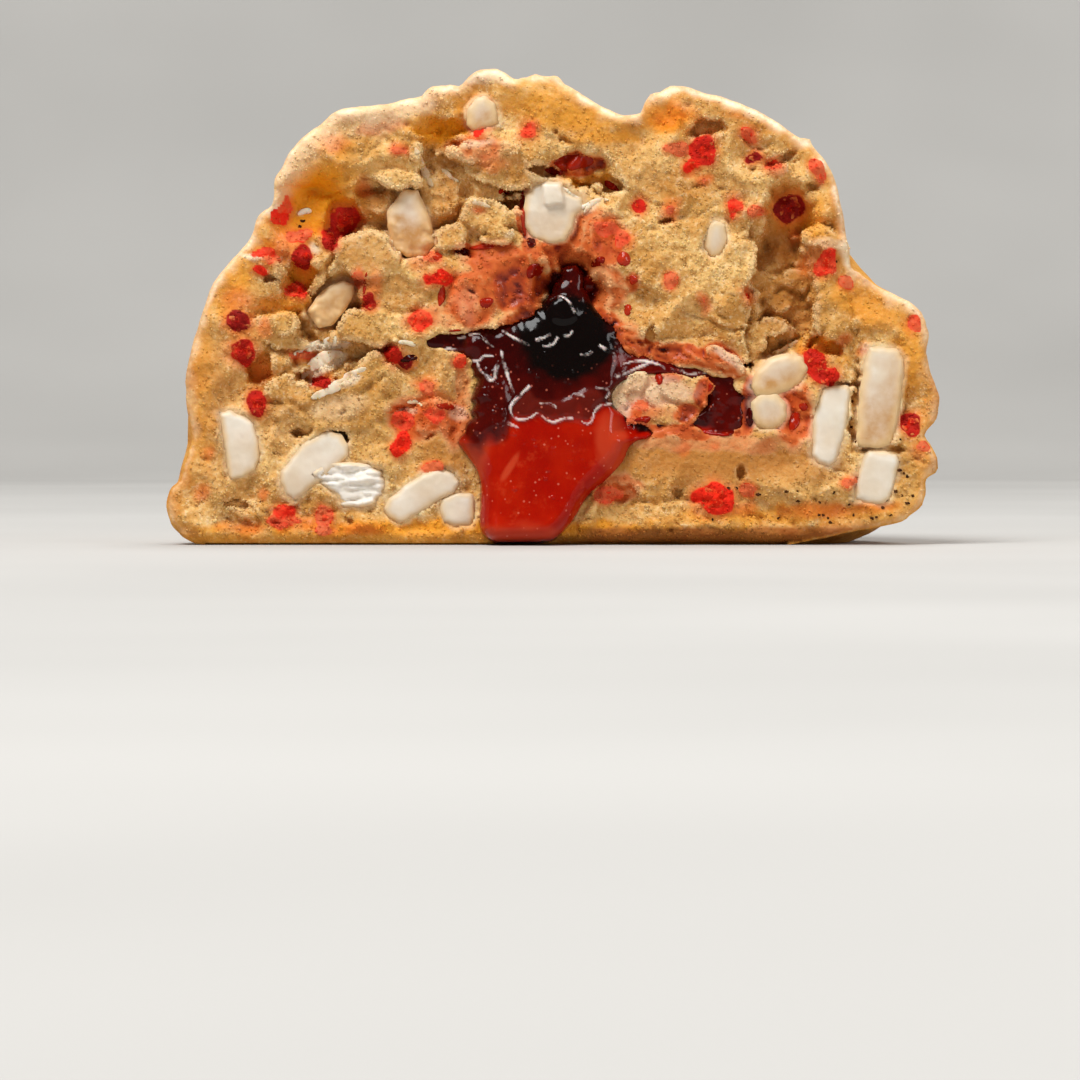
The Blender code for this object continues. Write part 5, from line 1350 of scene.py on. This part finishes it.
shard_finish = new_material(
    "white_shards",
    {"Subsurface Weight": 0.25, "Subsurface Scale": 0.001, "Specular IOR Level": 0.4},
    shard_look,
)
SHARD_SIDES = 12
around = np.linspace(0, 2 * math.pi, SHARD_SIDES, endpoint=False)
shard_bodies, shard_white = [], []
for width, white, *places in SHARDS:
    path = curve_through(places, 8 * len(places))
    share = np.linspace(0, 1, len(path))
    ahead = np.gradient(path, axis=0)
    ahead /= np.linalg.norm(ahead, axis=1, keepdims=True)
    uneven = 1 + 0.45 * grain(points_at(path[:, 0], 0.0, path[:, 1]), 0.8, 3, seed=5.0)
    half = 0.5 * width * np.clip(np.sin(math.pi * np.clip(share, 0.01, 0.99)), 0, 1) ** 0.4 * uneven
    across = half[:, None] * np.cos(around)
    sx, sz = path[:, :1] - ahead[:, 1:] * across, path[:, 1:] + ahead[:, :1] * across
    on_face = face_depth_at(path[:, 0], path[:, 1])[:, None]
    sy = on_face - 0.03 - 0.1 * np.sin(around) - 0.1 * across / max(width, 0.5)
    rings = points_at(sx, sy, sz)
    rings[..., 1] += 0.12 * grain(rings, 0.6, 2, seed=6.0)
    ids = np.arange(len(path) * SHARD_SIDES).reshape(-1, SHARD_SIDES)
    shard_faces = []
    for a, b in zip(ids, ids[1:]):
        shard_faces += zip(a, np.roll(a, -1), np.roll(b, -1), b)
    shard_faces += [ids[0][::-1], ids[-1]]
    shard_bodies.append((rings.reshape(-1, 3), shard_faces))
    shard_white.append(np.full(ids.size, white))
shards = new_piece("chocolate_shards", *joined(shard_bodies), shard_finish)
mark(shards, "white", np.concatenate(shard_white))
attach(shards, "root")
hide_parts("dough")

# Burnt specks. Grains of caramelised sugar, black and no bigger than a poppy seed, most of them low on the
# right. They are baked into the crumb, so that only their tops stand out of it. Each: x, z.
SPECKS = (
    (31.9, 13.1), (28.0, 13.4), (27.8, 11.8), (28.0, 11.0), (28.3, 9.6), (32.4, 9.8), (32.4, 7.0), (32.8, 6.7),
    (33.1, 6.4), (32.0, 5.0), (32.6, 4.6), (33.1, 3.9), (31.1, 4.2), (30.8, 3.5), (21.8, 5.0), (22.8, 5.0),
    (22.9, 4.1), (26.2, 4.9), (24.9, 4.0), (25.2, 2.8), (25.7, 2.5), (25.9, 2.1), (24.8, 2.8), (28.1, 2.8),
    (29.8, 2.5), (30.2, 2.6), (27.7, 3.8), (19.2, 4.7), (14.9, 2.4), (16.4, 5.3), (17.1, 5.3), (18.1, 16.8),
    (24.8, 19.5), (29.0, 14.8), (33.6, 4.6), (31.5, 2.8), (26.4, 26.4), (-23.4, 30.3), (-23.7, 29.8),
    (21.1, 2.5),
)


def speck_look(flow):
    return {"Base Color": flow.speckle(0.3, 2).span(0.3, 0.7).mix(shade("#2A1408"), shade("#5A3416"))}


speck_finish = new_material("burnt_sugar", {"Roughness": 0.8, "Specular IOR Level": 0.1}, speck_look)
speck_bodies = []
for count, (x, z) in enumerate(SPECKS):
    grit, grit_faces = ball(3)
    radius = 0.13 + 0.09 * grain(grit + count * 3.1, 0.8, 2)
    grit *= radius[:, None] * (1.2 + 0.5 * math.sin(count * 2.4), 0.6, 1.0)
    speck_bodies.append((grit + (x, face_depth_at(np.array(x), np.array(z)) - 0.03, z), grit_faces))
specks = new_piece("burnt_specks", *joined(speck_bodies), speck_finish)
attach(specks, "root")
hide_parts("dough")

# The table and the light: a pale sweep that curves up behind, one large soft light in front and above, a weaker
# one above and behind, a narrow one low at the right, and a dim even sky. Lengths are in metres.
bm = bmesh.new()
sweep = [(-1.5, 0.0), (0.45, 0.0)]
sweep += [(0.45 + 0.35 * math.sin(a), 0.35 - 0.35 * math.cos(a)) for a in np.linspace(0.1, math.pi / 2, 14)]
sweep.append((0.8, 1.6))
rails = [[bm.verts.new((x, y, z)) for y, z in sweep] for x in (-1.6, 1.6)]
for k in range(len(sweep) - 1):
    bm.faces.new([rails[0][k], rails[1][k], rails[1][k + 1], rails[0][k + 1]])
bmesh.ops.recalc_face_normals(bm, faces=bm.faces)
mesh = bpy.data.meshes.new("table_sweep")
bm.to_mesh(mesh)
bm.free()
mesh.shade_smooth()
table = bpy.data.objects.new("table_sweep", mesh)
bpy.context.scene.collection.objects.link(table)


def table_look(flow):
    return {"Base Color": flow.speckle(90, 2).span(0.2, 0.8).mix(shade("#B0AEAA"), shade("#BAB8B4"))}


mesh.materials.append(new_material("pale_table", {"Roughness": 0.9}, table_look))


def soft_light(name, place, target, size, power, tall=None):
    """A soft oval lamp, in metres and watts, turned to a target."""
    lamp = bpy.data.lights.new(name, "AREA")
    lamp.shape = "ELLIPSE"
    lamp.size, lamp.size_y, lamp.energy = size, tall or size, power
    made = bpy.data.objects.new(name, lamp)
    bpy.context.scene.collection.objects.link(made)
    made.location = place
    made.rotation_euler = (Vector(target) - Vector(place)).to_track_quat("-Z", "Y").to_euler()


soft_light("front_light", (-0.30, -0.48, 0.84), (0, 0, 0.02), 0.5, 11.6)
soft_light("top_light", (0.15, 0.18, 0.75), (0, 0, 0.02), 0.5, 3.4)
soft_light("side_light", (0.75, -0.55, 0.30), (0, 0, 0.02), 0.2, 2.2, 0.5)
world = bpy.data.worlds.new("studio")
world.use_nodes = True
world.node_tree.nodes["Background"].inputs["Color"].default_value = shade("#F2F0EC")
world.node_tree.nodes["Background"].inputs["Strength"].default_value = 0.2
bpy.context.scene.world = world
bpy.context.scene.view_settings.view_transform = "Standard"

CAMERA_TILT = math.radians(1.5)
CAMERA_AWAY = 0.45
camera = bpy.data.objects.new("camera", bpy.data.cameras.new("camera"))
bpy.context.scene.collection.objects.link(camera)
camera.data.sensor_width = 36
camera.data.lens = 160.7
camera.data.clip_start = 0.01
aim = Vector((-0.0012, FACE_Y * MILLIMETRE, 0.00047))
camera.location = aim + Vector((0, -CAMERA_AWAY * math.cos(CAMERA_TILT), CAMERA_AWAY * math.sin(CAMERA_TILT)))
camera.rotation_euler = (math.pi / 2 - CAMERA_TILT, 0, 0)
bpy.context.scene.camera = camera
